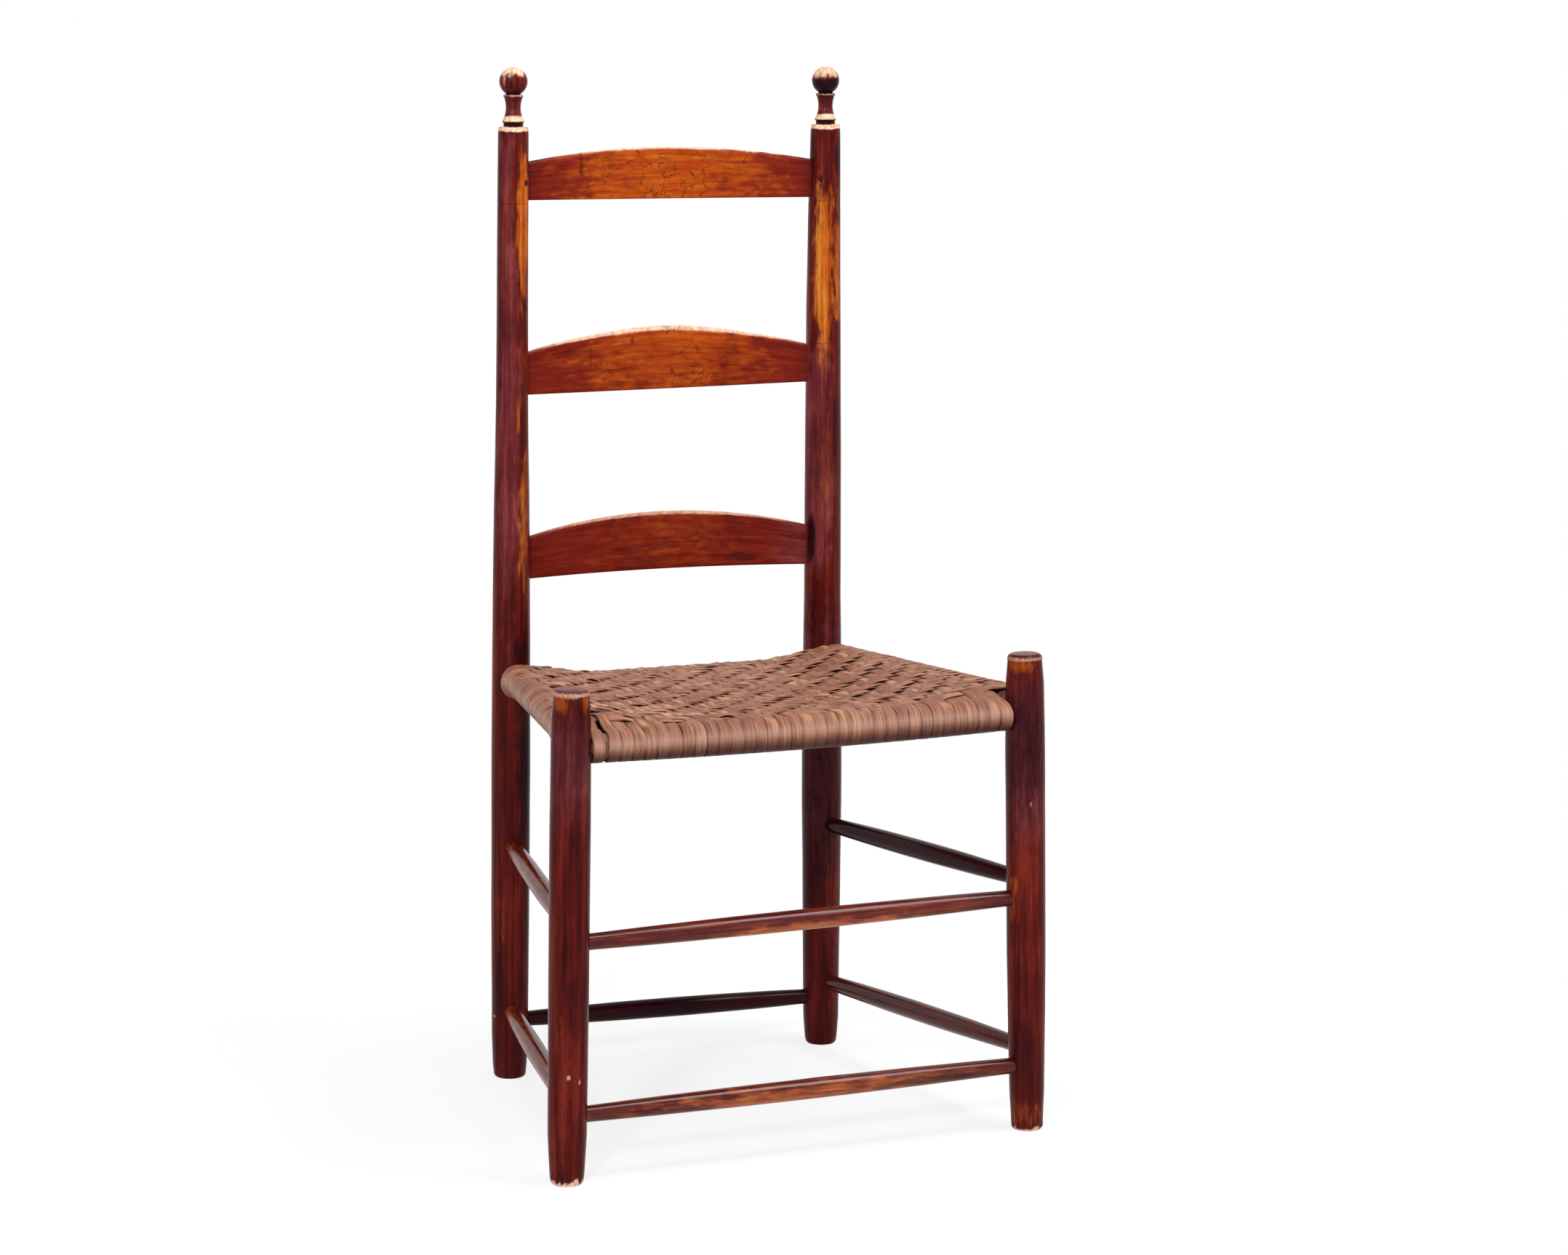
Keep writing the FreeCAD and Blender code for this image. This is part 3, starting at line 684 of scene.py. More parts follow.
@dataclass(frozen=True)
class SplintFinish:
    """Ash splint, riven from the log and woven, brown with age.

    Ash splits along its rings, so a strip shows long straight fibres, paler and darker by
    turns, with a dry sheen. Its crowns are painted paler and yellower, and what lies under them
    darker, as painted light and shade; where it goes round the rails a band is painted paler,
    partly worn by rubbing and partly a painted highlight.
    """

    name: str = "aged_ash_splint"
    shadow: str = "4A2C22"
    body: str = "7C503E"
    light: str = "A87A62"
    yellow: str = "B48862"
    # The pale of the band round the rails is partly wear and partly a painted highlight; the two
    # tints after it are painted shade under other strips and painted light on the crowns.
    rubbed_highlight: str = "D4B2A2"
    under_shade: tuple[float, ...] = (0.24, 0.14, 0.17, 1.0)
    crown_light_tint: tuple[float, ...] = (1.2, 1.18, 1.16, 1.0)
    fibre_width: float = 0.7 * MM
    fibre_length: float = 60.0 * MM
    band_width: float = 3.5 * MM
    band_length: float = 70.0 * MM
    relief_depth: float = 0.4 * MM
    specular: float = 0.14

    def build(self) -> Material:
        """Make the material from the strip coordinates and marks.

        Returns:
            The material.
        """
        material, tree = new_material(self.name)
        grain = add_node(tree, "ShaderNodeAttribute", attribute_name=GRAIN).outputs["Vector"]
        marks = add_node(tree, "ShaderNodeAttribute", attribute_name=MARKS).outputs
        split = add_node(tree, "ShaderNodeSeparateColor", {"Color": marks["Color"]})
        tone, crown, lit = split.outputs
        fibre, band = (
            grain_noise(tree, grain, (width, width, length), 3.0, 0.65)
            for width, length in (
                (self.fibre_width, self.fibre_length), (self.band_width, self.band_length),
            )
        )
        blend = layered(tree, -0.12, (fibre, 0.87), (band, 0.18), (tone, 0.09))
        wood = add_node(
            tree, "ShaderNodeValToRGB", {"Fac": blend},
            stops=((0.28, self.shadow), (0.47, self.body), (0.68, self.light)),
        )
        lines = add_node(tree, "ShaderNodeMapRange", {
            "Value": fibre, "From Min": 0.3, "From Max": 0.65, "To Min": 0.35, "To Max": 1.0,
        })
        sunned = lit
        for share in (crown, 0.75):
            sunned = add_node(tree, "ShaderNodeMath", {
                "Value": sunned, "Value_001": share,
            }, operation="MULTIPLY")
        # The paler band round the rails: partly wear, partly a painted highlight.
        worn_and_highlit = add_node(tree, "ShaderNodeMath", {
            "Value": marks["Alpha"], "Value_001": lines,
        }, operation="MULTIPLY")
        # Painted shade and light: the crown channel tints the colour from the dark under other
        # strips to the light on top.
        depth = add_node(tree, "ShaderNodeMix", {
            "Factor_Float": crown, "A_Color": self.under_shade, "B_Color": self.crown_light_tint,
        }, data_type="RGBA").outputs[2]
        colour = wood.outputs[0]
        for amount, over, blend_type in (
            (sunned, srgb(self.yellow), "MIX"),
            (1.0, depth, "MULTIPLY"),
            (worn_and_highlit, srgb(self.rubbed_highlight), "MIX"),
        ):
            colour = add_node(tree, "ShaderNodeMix", {
                "Factor_Float": amount, "A_Color": colour, "B_Color": over,
            }, data_type="RGBA", blend_type=blend_type).outputs[2]
        gloss = add_node(tree, "ShaderNodeMapRange", {
            "Value": band, "From Min": 0.3, "From Max": 0.7, "To Min": 0.38, "To Max": 0.6,
        })
        relief = add_node(tree, "ShaderNodeBump", {
            "Height": fibre, "Strength": 0.8, "Distance": self.relief_depth,
        })
        return with_shader(material, {
            "Base Color": colour, "Roughness": gloss, "Normal": relief,
            "Specular IOR Level": self.specular,
        })


@dataclass(frozen=True)
class BareAsh:
    """Turned ash without a finish, coloured a dark brown, with coarse growth rings."""

    name: str = "bare_turned_ash"
    pale: str = "7E5638"
    dark: str = "4E2E1C"
    ring_width: float = 2.2 * MM
    ring_length: float = 160.0 * MM

    def build(self) -> Material:
        """Make the material on Object coordinates, for the CAD rails.

        Returns:
            The material.
        """
        material, tree = new_material(self.name)
        where = add_node(tree, "ShaderNodeTexCoord").outputs["Object"]
        size = (self.ring_width, self.ring_length, self.ring_width)
        rings = grain_noise(tree, where, size, 3.0, 0.5)
        wood = add_node(
            tree, "ShaderNodeValToRGB", {"Fac": rings},
            stops=((0.35, self.dark), (0.62, self.pale)),
        )
        relief = add_node(tree, "ShaderNodeBump", {
            "Height": rings, "Strength": 0.3, "Distance": 0.3 * MM,
        })
        return with_shader(material, {"Base Color": wood, "Roughness": 0.62, "Normal": relief})


POST_FINISH = ShellacWood(
    name="shellacked_turned_maple",
    dark="2E0909", body="4E100D", light="6E2216",
    amber_deep="822E0A", amber="A84E14", amber_light="CC7E2E",
)
SLAT_FINISH = ShellacWood(
    name="shellacked_riven_maple",
    dark="540F09", body="6C180D", light="7A2412",
    amber_deep="842C08", amber="9C3C0A", amber_light="B25612",
    streak_width=3.5 * MM, streak_length=60.0 * MM, fleck_length=14.0 * MM, crazing=0.85,
    specular=0.07,
)
STRETCHER_FINISH = ShellacWood(
    name="shellacked_maple_rungs",
    dark="340D0B", body="561610", light="7A3422",
    amber_deep="7A2E12", amber="9E5026", amber_light="B46E3C",
    streak_width=2.6 * MM, streak_length=70.0 * MM,
    gloss_low=0.14, gloss_high=0.22, specular=0.21, ripple=0.1, grime_and_shade="2A0910",
)
SHADED_RUNG_FINISH = replace(
    STRETCHER_FINISH, name="shellacked_maple_dull_rungs", specular=0.07,
)
# The stretchers away from the light, whose shellac shows no gloss.
SHADED_RUNGS = (
    "rear_lower_stretcher", "right_upper_stretcher", "left_upper_stretcher",
    "left_lower_stretcher",
)
PIN_FINISH = ShellacWood(
    name="whittled_stained_oak",
    dark="220C0A", body="351310", light="4A1D14",
    amber_deep="6A2C14", amber="7C3A1C", amber_light="8E4A26",
    fleck_width=0.5 * MM, fleck_length=3.0 * MM,
)


# For each post, the diameters in millimetres at heights above the floor.
FRONT_STATIONS = {
    "left": (
        (2.5, 32.8), (11, 34.0), (18, 34.8), (32, 36.4), (47, 37.8), (202, 39.1), (342, 39.2),
        (397, 38.8), (446, 38.0), (467.4, 34.6),
    ),
    "right": (
        (2.5, 32.0), (7, 32.4), (22, 33.6), (37, 35.2), (126, 37.9), (186, 39.1), (333, 39.4),
        (384, 39.8), (452, 38.0), (472.4, 34.6),
    ),
}
REAR_STATIONS = {
    "left": (
        (2.5, 33.4), (12, 35.6), (45, 38.0), (180, 39.6), (323, 40.5), (445, 39.4), (505, 38.5),
        (610, 36.3), (655, 34.3), (699, 33.3), (802, 32.1), (890, 31.7), (977.1, 31.2),
    ),
    "right": (
        (2.5, 34.0), (9, 35.4), (29, 38.2), (106, 39.6), (202, 41.2), (266, 42.8), (305, 42.8),
        (447, 40.5), (486, 39.2), (594, 38.7), (640, 38.5), (687, 37.6), (793, 36.2),
        (839, 34.9), (884, 34.1), (977.1, 31.2),
    ),
}
SCRIBE_LINES = {"left": (905.0, 975.0), "right": (755.0, 903.0, 975.0)}
TOP_BENDS = {"left": 0.3, "right": 1.5}

# The wear of each post, with painted highlights, sheen and shade among it: mark, height and
# reach in millimetres, degrees round from the front and how far that goes, strength,
# raggedness and, where it isn't the usual one, softness.
# On the finial the pale bands on the chamfer, the bell and the collar are partly bare wood and
# partly painted highlights, the purple of the neck is a painted sheen, and the dark in the groove,
# the neck and under the ball is painted shade.
FINIAL_WEAR = (
    (BARE_AND_HIGHLIGHT, 979.0, 2.6, 0, ALL_ROUND, 1.1, 0.5),
    (BARE_AND_HIGHLIGHT, 989.3, 3.2, 0, ALL_ROUND, 0.95, 0.2),
    (BARE_AND_HIGHLIGHT, 1012.2, 1.4, 0, ALL_ROUND, 0.6, 0.5),
    (BLOOMED_SHEEN, 1000, 9, 0, ALL_ROUND, 0.8, 0.3),
    (GRIME_AND_SHADE, 1003, 6, 0, ALL_ROUND, 0.5, 0.3),
    (GRIME_AND_SHADE, 983.7, 2.6, 0, ALL_ROUND, 1.1, 0.1),
    (GRIME_AND_SHADE, 1015.5, 3.0, 0, ALL_ROUND, 0.7, 0.3),
)
REAR_WEAR = {
    "left": patches_mm(
        *FINIAL_WEAR,
        # The ball: its pale top is partly bare wood and partly a painted highlight, and its lower
        # half is painted shade.
        (BARE_AND_HIGHLIGHT, 1042, 10, 0, ALL_ROUND, 1.0, 0.5),
        (BARE_AND_HIGHLIGHT, 1027, 9, -60, 10, 0.5, 0.5),
        (WORN, 1028, 12, 10, 40, 0.2, 0.9),
        (GRIME_AND_SHADE, 1020, 6, 0, ALL_ROUND, 0.4, 0.3),
        (GRIME_AND_SHADE, 1028, 14, -28, 9, 0.6, 0.4),
        (WORN, 880, 86, 29, 42, 0.95, 0.35, 1.0),
        (GRIME_AND_SHADE, 884, 62, -10, 4, 0.4, 0.7),
        (GRIME_AND_SHADE, 830, 14, 6, 7, 0.7, 0.8),
        # The greyish purple of the upper shaft is blooming shellac with a painted sheen, and the
        # broad faint amber after it a painted highlight glow.
        (BLOOMED_SHEEN, 940, 40, -40, 40, 0.6, 0.6),
        (BLOOMED_SHEEN, 690, 260, -30, 50, 0.8, 0.3, 1.0),
        (WORN, 750, 280, 0, 80, 0.3, 0.4, 1.2),
        (WORN, 692, 24, 3, 9, 0.7, 0.5, 1.0),
        (WORN, 585, 110, 26, 34, 0.58, 0.4, 1.2),
        # Round the seat and under it the side away from the light is painted darker and the left
        # side lighter: painted shade and painted light.
        (GRIME_AND_SHADE, 450, 22, 22, 46, 0.75, 0.4, 1.0),
        (GRIME_AND_SHADE, 338, 115, 42, 56, 0.9, 0.3, 1.1),
        (GRIME_AND_SHADE, 180, 150, 60, 40, 0.6, 0.4),
        (WORN, 168, 66, -52, 34, 0.35, 0.5, 1.2),
        (BARE_AND_HIGHLIGHT, 66, 3, -78, 8, 0.7, 0.3),
        (GRIME_AND_SHADE, 71, 14, -100, 40, 0.6, 0.4),
    ),
    "right": patches_mm(
        *FINIAL_WEAR,
        # The ball: its pale top is partly bare wood and partly a painted highlight, and its lower
        # half is painted shade.
        (BARE_AND_HIGHLIGHT, 1042, 13, -20, ALL_ROUND, 0.75, 0.5),
        (BARE_AND_HIGHLIGHT, 1033, 7, -70, 30, 0.5, 0.5),
        (WORN, 1032, 9, -20, ALL_ROUND, 0.35, 0.4),
        (GRIME_AND_SHADE, 1020, 10, -20, ALL_ROUND, 1.0, 0.3),
        (GRIME_AND_SHADE, 950, 24, 38, 26, 0.8, 0.4),
        (GRIME_AND_SHADE, 950, 24, -88, 26, 0.8, 0.4),
        (WORN, 838, 104, -24, 46, 1.05, 0.35, 1.1),
        (GRIME_AND_SHADE, 870, 30, 12, 6, 0.35, 0.9),
        (GRIME_AND_SHADE, 800, 26, -6, 8, 0.3, 0.9),
        (WORN, 846, 80, 34, 30, 0.7, 0.4),
        (WORN, 745, 50, -20, 30, 0.5, 0.5, 1.2),
        (GRIME_AND_SHADE, 828, 8, 7, 7, 0.8, 0.7),
        (GRIME_AND_SHADE, 790, 40, -86, 16, 0.45, 0.4),
        # Purple down the middle of the shaft and a mauve stripe down its left edge are a painted
        # sheen, and the broad faint amber with them a painted highlight glow.
        (BLOOMED_SHEEN, 640, 150, -40, 70, 0.8, 0.3),
        (WORN, 640, 130, -20, 50, 0.42, 0.4, 1.2),
        (BLOOMED_SHEEN, 650, 190, -88, 20, 1.0, 0.2),
        (GRIME_AND_SHADE, 655, 64, 16, 14, 0.55, 0.5),
        (GRIME_AND_SHADE, 552, 32, -64, 20, 0.9, 0.4),
        # From under the seat down to the foot the post is painted darker all round: painted shade,
        # with a painted sheen under the seat.
        (BLOOMED_SHEEN, 320, 160, -23, ALL_ROUND, 0.9, 0.3),
        (GRIME_AND_SHADE, 300, 150, -30, ALL_ROUND, 0.7, 0.3),
        (GRIME_AND_SHADE, 110, 100, -20, ALL_ROUND, 0.45, 0.5),
        (GRIME_AND_SHADE, 317, 2.6, -30, 6, 1.3, 0.1),
    ),
}
FRONT_WEAR = {
    "left": patches_mm(
        (BARE_AND_HIGHLIGHT, 471.4, 2.4, -23, ALL_ROUND, 0.6, 0.3, 1.2),
        (BARE_AND_HIGHLIGHT, 471.0, 3.4, -20, 55, 0.55, 0.3, 1.2),
        (WORN, 478, 5, -23, ALL_ROUND, 0.35, 0.1, 1.2),
        (WORN, 463, 13, -58, 36, 0.85, 0.4, 1.2),
        (WORN, 464, 13, 34, 30, 0.85, 0.4, 1.2),
        # The top and the upper shaft are purple, blooming shellac with a painted sheen.
        (BLOOMED_SHEEN, 478, 5, -23, ALL_ROUND, 1.2, 0.1),
        (BARE_AND_HIGHLIGHT, 446, 24, -106, 9, 0.8, 0.3),
        (BLOOMED_SHEEN, 400, 72, -23, ALL_ROUND, 0.75, 0.3, 1.2),
        (GRIME_AND_SHADE, 415, 70, -23, ALL_ROUND, 0.62, 0.3, 1.2),
        (GRIME_AND_SHADE, 420, 60, 40, 30, 0.35, 0.5),
        (WORN, 156, 50, -56, 36, 0.3, 0.5, 1.2),
        (GRIME_AND_SHADE, 188, 55, -14, 12, 0.55, 0.6),
        (BARE_AND_HIGHLIGHT, 107, 2.2, -18, 7, 0.6, 0.5),
        (BARE_AND_HIGHLIGHT, 102, 2.6, 16, 4, 0.6, 0.4),
        (WORN, 22, 46, -23, ALL_ROUND, 0.28, 0.7, 1.2),
        (BARE_AND_HIGHLIGHT, 42, 34, -110, 9, 0.7, 0.4),
        (BARE_AND_HIGHLIGHT, 0, 4.5, -23, ALL_ROUND, 1.0, 1.0),
    ),
    "right": patches_mm(
        (BARE_AND_HIGHLIGHT, 476.2, 2.4, -23, ALL_ROUND, 0.5, 0.3, 1.2),
        (WORN, 483, 5, -23, ALL_ROUND, 0.35, 0.1),
        (WORN, 470, 9, -40, 70, 0.7, 0.4, 1.2),
        # The upper shaft is purple, blooming shellac with a painted sheen.
        (BLOOMED_SHEEN, 380, 100, -23, ALL_ROUND, 0.9, 0.3, 1.2),
        (GRIME_AND_SHADE, 385, 95, -23, ALL_ROUND, 0.74, 0.3, 1.2),
        (BARE_AND_HIGHLIGHT, 333, 2.2, -10, 5, 0.8, 0.2),
        (WORN, 250, 16, -64, 20, 0.5, 0.6, 1.2),
        (WORN, 226, 15, -66, 14, 0.55, 0.5, 1.2),
        (GRIME_AND_SHADE, 165, 86, -48, 6, 0.8, 0.5),
        (GRIME_AND_SHADE, 70, 60, -45, 60, 0.5, 0.5),
        (WORN, 13, 24, -23, ALL_ROUND, 0.4, 0.6, 1.0),
        (BARE_AND_HIGHLIGHT, 0, 3, -23, ALL_ROUND, 0.8, 0.8),
    ),
}

# Each stretcher: its two ends (post and height in millimetres), and its wear along it, which on
# the rungs away from the light holds painted shade.
STRETCHERS = (
    ("front_upper_stretcher", ("front", "left", 232.0), ("front", "right", 236.0), patches_mm(
        (WORN, 250, 130, 50, 60, 0.9, 0.4, 1.0),
        (GRIME_AND_SHADE, 480, 60, 0, ALL_ROUND, 0.6, 0.5),
        (GRIME_AND_SHADE, 0, 60, 0, ALL_ROUND, 0.5, 0.5),
    )),
    ("front_lower_stretcher", ("front", "left", 65.0), ("front", "right", 65.0), patches_mm(
        (WORN, 240, 230, 20, 90, 0.75, 0.5, 1.0),
        (GRIME_AND_SHADE, 120, 40, 40, 40, 0.7, 0.9),
        (GRIME_AND_SHADE, 380, 60, 20, 40, 0.7, 0.9),
    )),
    # Under the back of the seat: nearly black all round, dirt and painted shade.
    ("rear_lower_stretcher", ("rear", "left", 59.3), ("rear", "right", 51.3), patches_mm(
        (GRIME_AND_SHADE, 170, 300, 0, ALL_ROUND, 1.0, 0.35),
    )),
    ("left_upper_stretcher", ("front", "left", 248.0), ("rear", "left", 247.0), patches_mm(
        (WORN, 180, 220, 0, ALL_ROUND, 0.48, 0.6),
    )),
    ("left_lower_stretcher", ("front", "left", 77.5), ("rear", "left", 71.0), patches_mm(
        (WORN, 180, 220, 0, ALL_ROUND, 0.48, 0.6),
    )),
    # The right rungs, on the side away from the light: darker all round, dirt and painted shade.
    ("right_upper_stretcher", ("front", "right", 253.0), ("rear", "right", 242.0), patches_mm(
        (GRIME_AND_SHADE, 180, 300, 0, ALL_ROUND, 1.05, 0.3),
    )),
    ("right_lower_stretcher", ("front", "right", 82.0), ("rear", "right", 69.0), patches_mm(
        (GRIME_AND_SHADE, 180, 300, 0, ALL_ROUND, 0.6, 0.5),
    )),
)

# Each slat in millimetres: lower corners, height of an end, rise of the upper and the lower
# edge in the middle, how much higher their right corners are, and how hollow the shoulders are.
SLAT_SHAPES = {
    "top": (907.13, 36.9, 14.8, -0.5, -0.4, -1.4, 0.0),
    "middle": (713.27, 37.2, 25.9, -1.8, -1.5, 3.4, 1.6),
    "bottom": (521.8, 39.1, 22.7, 1.8, -2.4, -0.9, 0.0),
}
# The wear of each slat, with painted highlights on the top edges and painted shade at the
# ends: mark, place and reach along it in millimetres, place and reach as shares of its height,
# strength, raggedness and softness.
SLAT_WEAR = {
    "top": patches_mm(
        (WORN, 2, 150, 0.45, 1.3, 0.95, 0.35, 1.3),
        (WORN, 0, 125, 0.0, 0.14, 1.2, 0.3, 1.0),
        (GRIME_AND_SHADE, -96, 1.8, 0.8, 0.45, 0.7, 0.4),
        (GRIME_AND_SHADE, -60, 22, 0.85, 0.2, 0.35, 0.7, 1.0),
        (GRIME_AND_SHADE, 60, 34, 0.85, 0.2, 0.3, 0.7, 1.0),
        (GRIME_AND_SHADE, -118, 20, 0.4, 0.35, 0.3, 0.7, 1.0),
        (GRIME_AND_SHADE, 0, 168, 0.94, 0.03, 0.35, 0.4),
        # The pale along the rounded top edge: partly bare wood, partly a painted highlight.
        (BARE_AND_HIGHLIGHT, 0, 168, 1.03, 0.07, 0.8, 0.2),
        # The ends, where the slat goes into the posts, are painted darker: painted shade.
        (GRIME_AND_SHADE, -164, 30, 0.5, 1.2, 0.5, 0.3, 1.0),
        (GRIME_AND_SHADE, 164, 30, 0.5, 1.2, 0.5, 0.3, 1.0),
    ),
    "middle": patches_mm(
        (WORN, 0, 145, 0.6, 1.0, 0.85, 0.35, 1.3),
        (WORN, 4, 76, 0.86, 0.3, 1.2, 0.4, 1.0),
        # The pale along the rounded top edge: partly bare wood, partly a painted highlight.
        (BARE_AND_HIGHLIGHT, 0, 168, 1.02, 0.1, 0.8, 0.1, 0.5),
        (BARE_AND_HIGHLIGHT, -47, 12, 0.78, 0.02, 0.3, 0.2),
        (GRIME_AND_SHADE, -85, 1.8, 0.62, 0.3, 0.6, 0.4),
        (GRIME_AND_SHADE, -39, 1.6, 0.78, 0.16, 0.7, 0.3),
        # The ends, where the slat goes into the posts, are painted darker: painted shade.
        (GRIME_AND_SHADE, 160, 34, 0.5, 1.2, 0.3, 0.3, 1.0),
        (GRIME_AND_SHADE, -160, 30, 0.5, 1.2, 0.25, 0.3, 1.0),
    ),
    "bottom": patches_mm(
        # The pale along the rounded top edge: partly bare wood, partly a painted highlight.
        (BARE_AND_HIGHLIGHT, 0, 168, 1.02, 0.085, 0.55, 0.1, 0.5),
        (WORN, 0, 130, 0.5, 1.0, 0.5, 0.3, 1.3),
        (WORN, 36, 38, 0.5, 0.04, 0.4, 0.5),
        (GRIME_AND_SHADE, 80, 26, 0.18, 0.09, 0.6, 0.9),
        # The ends, where the slat goes into the posts, are painted darker: painted shade.
        (BLOOMED_SHEEN, 158, 46, 0.5, 1.2, 0.7, 0.3, 1.0),
        (GRIME_AND_SHADE, 168, 26, 0.5, 1.2, 0.3, 0.3, 1.0),
        (GRIME_AND_SHADE, -160, 36, 0.5, 1.2, 0.4, 0.3, 1.0),
    ),
}


@dataclass
class ChairLayout:
    """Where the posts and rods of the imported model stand, in metres."""

    rear_height: float = 1040.5 * MM
    front_height: float = 475.4 * MM
    right_rise: float = 5.0 * MM
    seat_height: float = 420.2 * MM
    front_foot: tuple[float, float] = (244.2 * MM, -182.5 * MM)
    front_top: tuple[float, float] = (236.0 * MM, -173.8 * MM)
    rear_foot: tuple[float, float] = (176.9 * MM, 179.7 * MM)
    rear_top: tuple[float, float] = (169.5 * MM, 179.7 * MM)

    def post(self, row: str, side: str) -> Axis:
        """Return the axis of a post, from the floor to its top.

        Args:
            row: front or rear.
            side: left or right.

        Returns:
            The axis, in the row frame.
        """
        sign = -1.0 if side == "left" else 1.0
        foot, top, height = (
            (self.front_foot, self.front_top, self.front_height) if row == "front"
            else (self.rear_foot, self.rear_top, self.rear_height)
        )
        start = Vector((sign * foot[0], foot[1], 0.0))
        end = Vector((sign * top[0], top[1], height))
        if (row, side) == ("front", "right"):
            end = start.lerp(end, 1.0 + self.right_rise / height)
        return Axis(start, end)

    def on_post(self, row: str, side: str, height: float) -> Vector:
        """Return the point of a post's axis at a height above the floor."""
        post = self.post(row, side)
        return post.at(height / post.end.z)

    def rod(self, start: tuple[str, str, float], end: tuple[str, str, float],
            front: Vector) -> Axis:
        """Return the axis of a stretcher or rail between two posts."""
        return Axis(self.on_post(*start), self.on_post(*end), front)


@dataclass
class TurnedPost:
    """What the two rows of posts share: a leaning turned post with its wear."""

    side: str
    axis: Axis
    patches: Sequence[Patch]
    seed: int
    row: str = ""
    foot_dia: float = 33.0 * MM
    foot_bevel: float = 2.5 * MM
    stations: Sequence[tuple[float, float]] = ()
    scribe_lines: Sequence[float] = ()
    scribe_depth: float = 0.3 * MM
    scribe_half: float = 0.7 * MM
    chips: float = 3.2 * MM
    chip_height: float = 9.0 * MM
    chip_core: float = 10.0 * MM
    top_bend: float = 0.0
    bend_from: float = 760.0 * MM
    bend_over: float = 210.0 * MM
    ring_step: float = 2.5 * MM
    segments: int = 90
    shaft_from: float = 6.0 * MM
    sawn_off: float = 1.0 * MM
    hand_depth: float = 0.35 * MM
    chip_size: float = 5.0 * MM
    chip_apart: float = 2.3
    chip_least: float = 0.12

    @property
    def name(self) -> str:
        """The piece's name, after its CAD node."""
        return f"{self.row}_post_{self.side}"

    def radius_at(self, height: float) -> float:
        """Return the radius of the shaft at a height, scribe lines included.

        Args:
            height: metres up the post.

        Returns:
            The radius in metres.
        """
        stations = self.stations
        for (low, low_dia), (high, high_dia) in zip(stations, stations[1:]):
            if height <= high * MM:
                break
        share = min(max((height / MM - low) / (high - low), 0.0), 1.0)
        radius = mix(low_dia, high_dia, share) * MM / 2
        for line in self.scribe_lines:
            radius -= self.scribe_depth * max(0.0, 1.0 - abs(height - line) / self.scribe_half)
        return radius

    def shaft(self, profile: Profile, start: float, end: float) -> None:
        """Draw the shaft between two heights, with closer rings at each scribe line.

        Args:
            profile: the outline to draw on.
            start: its lower height.
            end: its upper height.
        """
        count = round((end - start) / self.ring_step)
        heights = {start + (end - start) * index / count for index in range(count + 1)}
        for line in self.scribe_lines:
            heights |= {line + step * self.scribe_half for step in (-1, -0.5, 0, 0.5, 1)}
        for height in sorted(heights):
            profile.line(self.radius_at(height), height)

    def foot(self) -> Profile:
        """Start the outline at the middle of the foot and draw its worn bevel.

        Returns:
            The outline, to draw on.
        """
        radius = self.foot_dia / 2
        return (
            Profile(0.0, -self.sawn_off)
            .line(radius - self.foot_bevel, -self.sawn_off, 3.0 * MM)
            .line(radius - self.foot_bevel * 0.35, self.foot_bevel * 0.35)
            .line(radius, self.foot_bevel * 1.2)
        )

    def outline(self) -> Profile:
        """Return the whole half outline. Each row of posts draws its own."""
        raise NotImplementedError

    def chip_foot(self, mesh_maker: BMesh) -> None:
        """Break small chips out of the rim of the foot.

        Args:
            mesh_maker: the post, round the Z axis.
        """
        for vertex in mesh_maker.verts:
            if vertex.co.z > self.chip_height or vertex.co.xy.length < self.chip_core:
                continue
            spot = vertex.co / self.chip_size + Vector((self.seed * self.chip_apart, 0.0, 0.0))
            bite = max(0.0, noise.noise(spot) - self.chip_least) * self.chips
            radial = Vector((vertex.co.x, vertex.co.y, 0.0)).normalized()
            vertex.co -= radial * bite * (1.0 - max(vertex.co.z, 0.0) / self.chip_height)

    def build(self, material: Material) -> Object:
        """Build the post and stand it in its place, sawn level at the floor.

        Args:
            material: its finish.

        Returns:
            The piece.
        """
        mesh_maker = self.outline().turned(self.segments)
        lines = [
            Patch(GRIME_AND_SHADE, at, 1.0 * MM, strength=0.45, ragged=0.2) for at in self.scribe_lines
        ]
        dress_vertices(mesh_maker, self.seed, [*self.patches, *lines])
        hand_turned(mesh_maker, self.seed, self.hand_depth)
        self.chip_foot(mesh_maker)
        for vertex in mesh_maker.verts:
            bent = min(max((vertex.co.z - self.bend_from) / self.bend_over, 0.0), 1.0)
            vertex.co.x += self.top_bend * bent * bent
        bmesh.ops.transform(mesh_maker, matrix=self.axis.matrix(), verts=mesh_maker.verts)
        sawn = bmesh.ops.bisect_plane(
            mesh_maker, geom=everything(mesh_maker), plane_co=(0, 0, 0), plane_no=UP,
            clear_inner=True,
        )
        rim = [item for item in sawn["geom_cut"] if isinstance(item, bmesh.types.BMEdge)]
        bmesh.ops.edgeloop_fill(mesh_maker, edges=rim)
        bmesh.ops.recalc_face_normals(mesh_maker, faces=mesh_maker.faces)
        return finish_piece(mesh_maker, self.name, material, [self.name])


